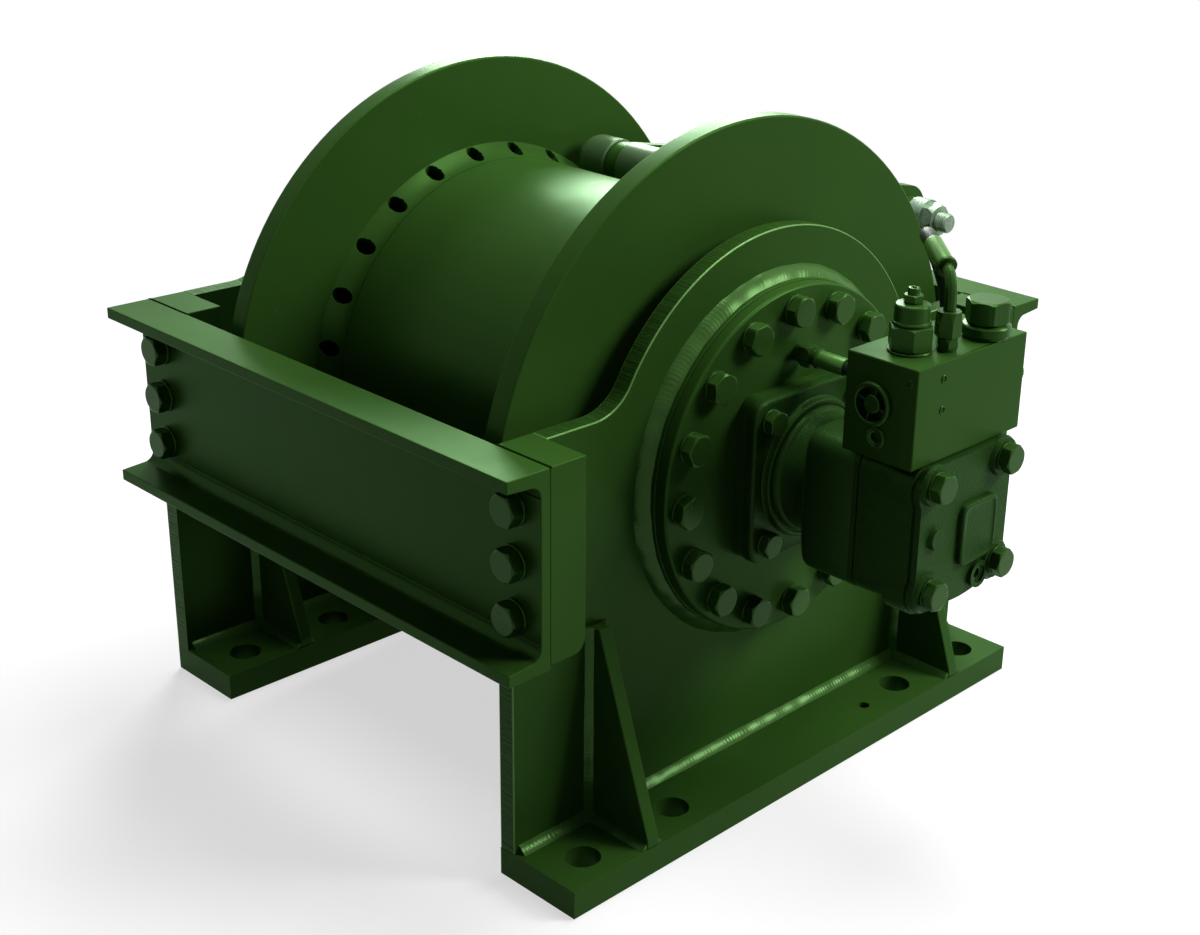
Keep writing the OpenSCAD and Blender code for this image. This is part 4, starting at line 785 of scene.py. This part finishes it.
class WINCH_OT_bolts(bpy.types.Operator):
    """Hexagon bolts of the cover, the channels and the motor"""

    bl_idname = "winch.bolts"
    bl_label = "Bolts"

    def execute(self, context):
        x, y = np.eye(3)[:2]
        ring = [math.radians(3 + 22.5 * k) for k in range(16)]
        corners = [math.radians(45 + 90 * k) for k in range(4)]
        cover = [bolt(around(COVER_FRONT, COVER_CIRCLE, a), x, y, **M20, length=0.050, turn=a + 0.785) for a in ring]
        self.place("cover_hexagon_bolts", cover, "cover_bolts")
        channel = [
            bolt((at, s * WEB_FACE, high), s * y, x, **M20, length=0.039, turn=0.52, plate=0.0178)
            for s in (-1, 1) for at in BOLT_COLUMNS for high in BOLT_ROWS
        ]
        self.place("channel_hexagon_bolts", channel, "channel_bolts")
        flange = [
            bolt(around(FLANGE_FRONT, FLANGE_CIRCLE, a), x, y, **M16, length=0.038, turn=a + 0.87, plate=0.0130)
            for a in corners
        ]
        self.place("motor_flange_hexagon_bolts", flange, "motor_flange_bolts")
        turns = [0.70 if math.cos(a) > 0 else 0.35 for a in corners]
        ties = [
            bolt(around(TIE_SEAT, TIE_CIRCLE, a), x, y, **M18, length=0.106, turn=turn, plate=0.0146)
            for a, turn in zip(corners, turns)
        ]
        self.place("motor_tie_hexagon_bolts", ties, "motor_tie_bolts")
        return {"FINISHED"}

    @staticmethod
    def place(name, bolts, node):
        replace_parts(shells_to_piece(name, bolts, "bolt_paint", "frame", soft=0.00035), node)


class WINCH_OT_valve(bpy.types.Operator):
    """Relief cartridge, plugs and port caps of the valve block"""

    bl_idname = "winch.valve"
    bl_label = "Valve plugs"

    def execute(self, context):
        """All but the port cap are lathe surfaces of (height, radius)."""
        x, y, z = np.eye(3)
        top, front, right = BLOCK_TOP, BLOCK_FRONT, BLOCK_RIGHT

        def cartridge(a):
            return (
                [(-0.018, 0.0135), (-0.0005, 0.0135), (0, 0.0205), (0.0012, 0.0212), (0.0024, 0.0205)]
                + hexagonal(a, 0.0026, 0.026, 0.038, 0.785, both=True)
                + [(0.0262, 0.0172), (0.0275, 0.0185), (0.0290, 0.0185), (0.0300, 0.0172), (0.0310, 0.0170)]
                + [(0.0440, 0.0168), (0.0455, 0.0160), (0.0462, 0.0145), (0.0464, 0.0084)]
                + hexagonal(a, 0.0466, 0.0545, 0.017, 0.785, both=True)
                + [(0.0546, 0.0058), (0.0600, 0.0056), (0.0608, 0.0050), (0.0610, 0.0031)]
                + [(0.0608, hexagon(a, 0.0052)), (0.0575, hexagon(a, 0.0052))]
            )

        relief = [lathe(cartridge, (0.4421, -0.046, top), z, x)]
        piece = shells_to_piece("relief_cartridge_turned", relief, "bolt_paint", "frame", soft=0.0003)
        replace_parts(piece, "relief_cartridge")

        def collar_plug(a):
            return (
                [(-0.014, 0.0175), (0, 0.0175), (0, 0.0215), (0.0012, 0.0225), (0.0032, 0.0228), (0.0040, 0.0240)]
                + [(0.0115, 0.0240), (0.0128, 0.0228), (0.0132, 0.0200), (0.0140, 0.0186)]
                + hexagonal(a, 0.0142, 0.0368, 0.0385, 0.873, both=True)
            )

        def socket(a):
            bore = hexagon(a, 0.0095)
            return [
                (-0.004, 0.0085), (0, 0.0085), (0, 0.0108), (0.0010, 0.0110), (0.0018, 0.0104), (0.0019, 0.0088),
                (0.0012, 0.0082), (0.0012, 0.0064), (0.0006, bore), (-0.0036, bore),
            ]

        def knurled(a):
            rim = 0.0124 + 0.00045 * np.cos(36 * a)
            return [
                (-0.004, 0.0120), (0, 0.0120), (0.0006, rim), (0.0082, rim),
                (0.0090, 0.0118), (0.0090, 0.0085), (0.0082, 0.0080), (0.0082, 0.0010),
            ]

        def pin(a):
            return [
                (-0.002, 0.0040), (0.0006, 0.0040), (0.0010, 0.0035), (0.0010, 0.0029), (-0.0006, 0.0026),
                (-0.0006, 0.0016), (0.0006, 0.0010),
            ]

        shells = [
            lathe(collar_plug, (0.4633, 0.045, top), z, x),
            self.port_cap((0.4350, front, top - 0.044)),
            lathe(socket, (0.4400, front, top - 0.076), -y, x),
            lathe(knurled, (0.4665, BLOCK_BACK, top - 0.045), y, x, sides=144),
            lathe(socket, (END_FACE, 0.028, AXIS[1] - 0.062), x, y),
            lathe(pin, (right, -0.0464, 0.5144), x, y, sides=24),
            lathe(pin, (right, -0.0454, 0.4839), x, y, sides=24),
            lathe(pin, (0.4746, front, 0.5166), -y, x, sides=24),
        ]
        piece = shells_to_piece("valve_plugs_turned", shells, "bolt_paint", "frame")
        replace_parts(piece, "valve_plugs")
        return {"FINISHED"}

    @staticmethod
    def port_cap(place):
        """Height over (radius, angle): a rounded ring, a disc in its middle, and between them a deep channel that
        four narrow ribs cross. A rib's share falls from 1 to 0 at its edge with the distance to its line."""
        ring_middle, ring_half, disc_edge, rib_half, soft = 0.0188, 0.0029, 0.0094, 0.0019, 0.0006
        bands = ((0.0215, 0.0165, 14), (0.0163, 0.0092, 16), (0.0090, 0.0008, 10))
        r = np.concatenate([np.linspace(*band) for band in bands])
        a = angles(160)
        lip = 0.0052 * np.clip(1 - ((r - ring_middle) / ring_half) ** 4, 0, 1) ** 0.5
        disc = 0.0034 * np.clip((disc_edge - r) / soft, 0, 1) ** 0.5
        away = np.abs((a + 0.3 + np.pi / 4) % (np.pi / 2) - np.pi / 4)[None] * r[:, None]
        rib = np.clip((rib_half - away) / soft, 0, 1)
        between = ((r < 0.0166) & (r > 0.0091))[:, None]
        high = np.where(between, -0.0085 + 0.0110 * rib, (lip + disc)[:, None])
        back = np.array([[-0.010, 0.0190], [-0.0002, 0.0215]])
        along = np.concatenate([np.repeat(back[:, :1], len(a), 1), high])[..., None]
        radius = np.concatenate([back[:, 1], r])[:, None, None]
        spoke = np.cos(a)[:, None] * np.array([1, 0, 0]) + np.sin(a)[:, None] * np.array([0, 0, 1])
        return np.asarray(place) + along * np.array([0, -1, 0]) + radius * spoke[None]


class WINCH_OT_motor(bpy.types.Operator):
    """Cast motor housing with square flange, ringed neck and bell, and the end cover's rimmed pad"""

    bl_idname = "winch.motor"
    bl_label = "Motor housing"

    def execute(self, context):
        """Rows of (station, half width in mm, power p): a square flange (p = 11), a round neck with two rings
        (p = 2) and the bell's rounded square (p = 8.5). The pad's rows are (station, distance inwards in mm)."""
        table = np.array([
            (0.2825, 86.5, 11), (0.2833, 88.0, 11), (0.2920, 88.0, 11), (0.2935, 87.7, 11), (0.2948, 86.8, 11),
            (0.2955, 85.4, 11), (0.2955, 84.0, 10), (0.2951, 82.5, 9), (0.2951, 77.5, 2.2), (0.2953, 75.6, 2),
            (0.2962, 74.4, 2), (0.2985, 73.6, 2), (0.3012, 73.2, 2), (0.3026, 72.0, 2), (0.3030, 70.5, 2),
            (0.3028, 69.0, 2), (0.3018, 68.2, 2), (0.3018, 67.2, 2), (0.3034, 66.6, 2), (0.3060, 66.0, 2),
            (0.3078, 64.9, 2), (0.3090, 63.4, 2), (0.3130, 62.2, 2), (0.3230, 61.2, 2), (0.3300, 61.0, 2),
            (0.3350, 61.8, 2.1), (0.3390, 63.6, 2.5), (0.3420, 66.4, 3.2), (0.3445, 69.6, 4.6), (0.3468, 72.2, 6.4),
            (0.3495, 74.0, 7.8), (0.3530, 74.8, 8.4), (0.3580, 75.0, 8.5), (0.4070, 75.0, 8.5), (0.4082, 74.6, 8.5),
            (0.4085, 73.8, 8.5),
        ])
        station, half, power = (table[:, k : k + 1] for k in range(3))
        rings = self.sections(station, half / 1000, half / 1000, power, AXIS)
        piece = shells_to_piece("motor_housing_cast", [rings], "cast_paint", "frame")
        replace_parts(piece, "motor_housing")
        rim = np.array([
            (0.4870, 0), (0.4918, 0), (0.4930, 0.5), (0.4938, 1.5), (0.4941, 2.6), (0.4939, 3.7), (0.4933, 4.6),
            (0.4929, 5.4), (0.4929, 9.0),
        ])
        station, inward = rim[:, :1], rim[:, 1:] / 1000
        pad = self.sections(station, 0.0285 - inward, 0.0325 - inward, 7.0, (0.0195, 0.3465))
        shells_to_piece("cover_pad_cast", [pad], "cast_paint", "frame")
        return {"FINISHED"}

    @staticmethod
    def sections(station, wide, tall, power, middle):
        """Cross sections of (wide cos a, tall sin a) / (|cos a|^p + |sin a|^p)^(1/p) round a middle line."""
        a = angles(160)
        share = (np.abs(np.cos(a)) ** power + np.abs(np.sin(a)) ** power) ** (-1 / power)
        across, up = middle[0] + wide * share * np.cos(a), middle[1] + tall * share * np.sin(a)
        return np.stack([station + 0 * share, across, up], -1)


class WINCH_OT_collar(bpy.types.Operator):
    """Drilled collar between the far flange and the barrel"""

    bl_idname = "winch.collar"
    bl_label = "Drilled collar"

    def execute(self, context):
        """Radius over (t, angle): barrel + rise * (1 - t)^1.7, at far face + width * t. Inside each hole's outline, a
        long round shape on the slope, the surface drops steeply towards the axis and the flange."""
        first, half_gap = math.radians(66.7), math.pi / COLLAR_HOLES
        half_long, half_wide, inwards, backwards = 0.0106, 0.0082, 0.011, 0.009
        t = np.linspace(0, 1, 56)[:, None]
        a = angles(COLLAR_HOLES * 48)[None]
        radius = BARREL + 0.0002 + (COLLAR_OUTER - BARREL) * (1 - t) ** 1.7
        station = FAR_FACE + COLLAR_WIDTH * t
        turn = (a - first + half_gap) % (2 * half_gap) - half_gap
        along = (t - 0.40) * COLLAR_WIDTH / half_long
        across = turn * radius / half_wide * (1 + 0.25 * np.clip(along, 0, 1))
        deep = np.clip((1 - np.abs(along) ** 2.3 - np.abs(across) ** 2) / 0.16, 0, 1)
        deep = deep * deep * (3 - 2 * deep)
        radius = radius - inwards * deep
        station = station - backwards * deep
        inside = around(np.array([[FAR_FACE + COLLAR_WIDTH], [FAR_FACE - 0.011]]), BARREL - 0.014, a)
        rings = np.concatenate([around(station, radius, a), inside])
        piece = shells_to_piece("drilled_collar", [(rings, True)], "green_paint", "drum")
        piece.data.materials.append(FINISHES["drilled_paint"])
        # Faces deep inside the holes take the very dark finish: painted shade of the holes' depth
        dark = np.zeros(len(piece.data.polygons), "i")
        rows = (deep > 0.55).ravel()
        dark[: rows.size] = rows
        piece.data.polygons.foreach_set("material_index", dark)
        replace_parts(piece, "flange_collar")
        return {"FINISHED"}


class WINCH_OT_edges(bpy.types.Operator):
    """Merges the CAD nodes' loose triangles and rounds their sharp edges, by modifiers only"""

    bl_idname = "winch.edges"
    bl_label = "Rounded edges"

    def execute(self, context):
        edge = context.scene.winch_sizes.edge
        share = {
            "hose_fittings": 0.3, "pivot_nuts": 0.4, "near_flange": 0.6, "far_flange": 0.6, "gear_cover": 0.7,
            "end_blocks": 0.8, "front_channel": 0.8, "rear_channel": 0.8, "foot_plates": 1.3, "motor_end_cover": 2.2,
        }
        unclamped = (
            "front_channel", "rear_channel", "end_blocks", "near_flange", "far_flange", "gear_cover", "valve_block",
            "seat_ring", "gussets",
        )
        machined = ("gear", "planet", "bearing_rings", "balls", "brake", "shaft", "seal", "spring")
        for name, node in NODES.items():
            if node.hide_render or any(word in name for word in machined) and name != "gear_cover":
                continue
            weld = node.modifiers.new("merge", "WELD")
            weld.merge_threshold = 0.00001
            planes = node.modifiers.new("planes", "DECIMATE")
            planes.decimate_type = "DISSOLVE"
            planes.angle_limit = math.radians(0.3)
            round_off(node, edge * share.get(name, 1.0), clamp=name not in unclamped)
        return {"FINISHED"}


class WINCH_OT_studio(bpy.types.Operator):
    """Pale floor, three soft lamps and a surround that the camera and glossy surfaces see as white"""

    bl_idname = "winch.studio"
    bl_label = "Studio"

    def execute(self, context):
        studio = context.scene.winch_studio
        scene = context.scene
        scene.view_settings.view_transform = "Standard"
        world = bpy.data.worlds.new("surround")
        scene.world = world
        world.use_nodes = True
        tree = world.node_tree
        tree.nodes.clear()
        light = add(tree, "Background", 0, {"Color": (1, 1, 1, 1), "Strength": studio.sky})
        white = add(tree, "Background", 0, {"Color": (1, 1, 1, 1), "Strength": 1.0})
        end_in(tree, "World", add(tree, "MixShader", 0, {0: self.seen(tree), 1: light, 2: white}))
        for key, (place, size) in LAMPS.items():
            self.lamp(scene, key + "_lamp", place, getattr(studio, key), size)
        self.floor(scene, studio.floor)
        return {"FINISHED"}

    @staticmethod
    def seen(tree):
        """1 where a ray comes from the camera, a gloss or a glass, else 0."""
        path = tree.nodes.new("ShaderNodeLightPath").outputs
        total = path["Is Camera Ray"]
        for name in ("Is Glossy Ray", "Is Transmission Ray"):
            total = add(tree, "Math", "Value", {0: total, 1: path[name]}, operation="MAXIMUM")
        return total

    @staticmethod
    def lamp(scene, name, place, power, size):
        """A round lamp that faces the middle of the winch."""
        data = bpy.data.lights.new(name, "AREA")
        data.shape = "DISK"
        data.size = size
        data.energy = power
        lamp = bpy.data.objects.new(name, data)
        lamp.location = place
        aim = np.array(AIM) - place
        lamp.rotation_euler = (math.atan2(math.hypot(aim[0], aim[1]), -aim[2]), 0, math.atan2(-aim[0], aim[1]))
        scene.collection.objects.link(lamp)

    def floor(self, scene, radius):
        """A flat disc. The camera sees it pale, with the winch's shadow, and it turns white from 0.9 to 1.9 m out. To
        other rays it is dark grey, so that it throws little light back at the winch."""
        a = angles(96)
        ring = np.stack([radius * np.cos(a), radius * np.sin(a), 0 * a - 0.0005], 1)
        mesh = bpy.data.meshes.new("floor")
        mesh.from_pydata(ring.tolist(), [], [list(range(len(a)))])
        mesh.update()
        floor = bpy.data.objects.new("floor", mesh)
        scene.collection.objects.link(floor)
        material = bpy.data.materials.new("pale_floor")
        material.use_nodes = True
        tree = material.node_tree
        tree.nodes.clear()
        dark = add(tree, "BsdfDiffuse", 0, {"Color": (0.12, 0.12, 0.12, 1)})
        pale = add(tree, "BsdfDiffuse", 0, {"Color": (0.42, 0.42, 0.42, 1)})
        glow = add(tree, "Emission", 0, {"Strength": 0.62})
        near = add(tree, "AddShader", 0, {0: pale, 1: glow})
        away = add(tree, "VectorMath", "Value", {0: add(tree, "TexCoord", "Object")}, operation="LENGTH")
        reach = add(tree, "MapRange", "Result", {"Value": away, "From Min": 0.9, "From Max": 1.9})
        white = add(tree, "Emission", 0, {"Strength": 1.0})
        shown = add(tree, "MixShader", 0, {0: reach, 1: near, 2: white})
        end_in(tree, "Material", add(tree, "MixShader", 0, {0: self.seen(tree), 1: dark, 2: shown}))
        mesh.materials.append(material)


STEPS = (
    WINCH_OT_camera, WINCH_OT_finishes, WINCH_OT_hose, WINCH_OT_welds, WINCH_OT_springs, WINCH_OT_balls,
    WINCH_OT_shaft, WINCH_OT_sleeves, WINCH_OT_bolts, WINCH_OT_valve, WINCH_OT_motor, WINCH_OT_collar,
    WINCH_OT_edges, WINCH_OT_studio,
)
GROUPS = {"winch_colours": WinchColours, "winch_sizes": WinchSizes, "winch_studio": WinchStudio}


class WINCH_PT_panel(bpy.types.Panel):
    """Lists the winch's making steps and their sizes"""

    bl_idname = "WINCH_PT_panel"
    bl_label = "Hydraulic winch"
    bl_space_type = "VIEW_3D"
    bl_region_type = "UI"
    bl_category = "Winch"

    def draw(self, context):
        for step in STEPS:
            self.layout.operator(step.bl_idname)
        for group in GROUPS:
            owner = getattr(context.scene, group)
            box = self.layout.box()
            for key in owner.bl_rna.properties.keys():
                if key not in ("rna_type", "name"):
                    box.prop(owner, key)


def register():
    for group in GROUPS.values():
        bpy.utils.register_class(group)
    for step in STEPS + (WINCH_PT_panel,):
        bpy.utils.register_class(step)
    for name, group in GROUPS.items():
        setattr(bpy.types.Scene, name, PointerProperty(type=group))


def unregister():
    for name in GROUPS:
        delattr(bpy.types.Scene, name)
    for step in reversed(STEPS + (WINCH_PT_panel,)):
        bpy.utils.unregister_class(step)
    for group in GROUPS.values():
        bpy.utils.unregister_class(group)


def main():
    register()
    for step in STEPS:
        area, name = step.bl_idname.split(".")
        getattr(getattr(bpy.ops, area), name)()


if __name__ == "__main__":
    main()
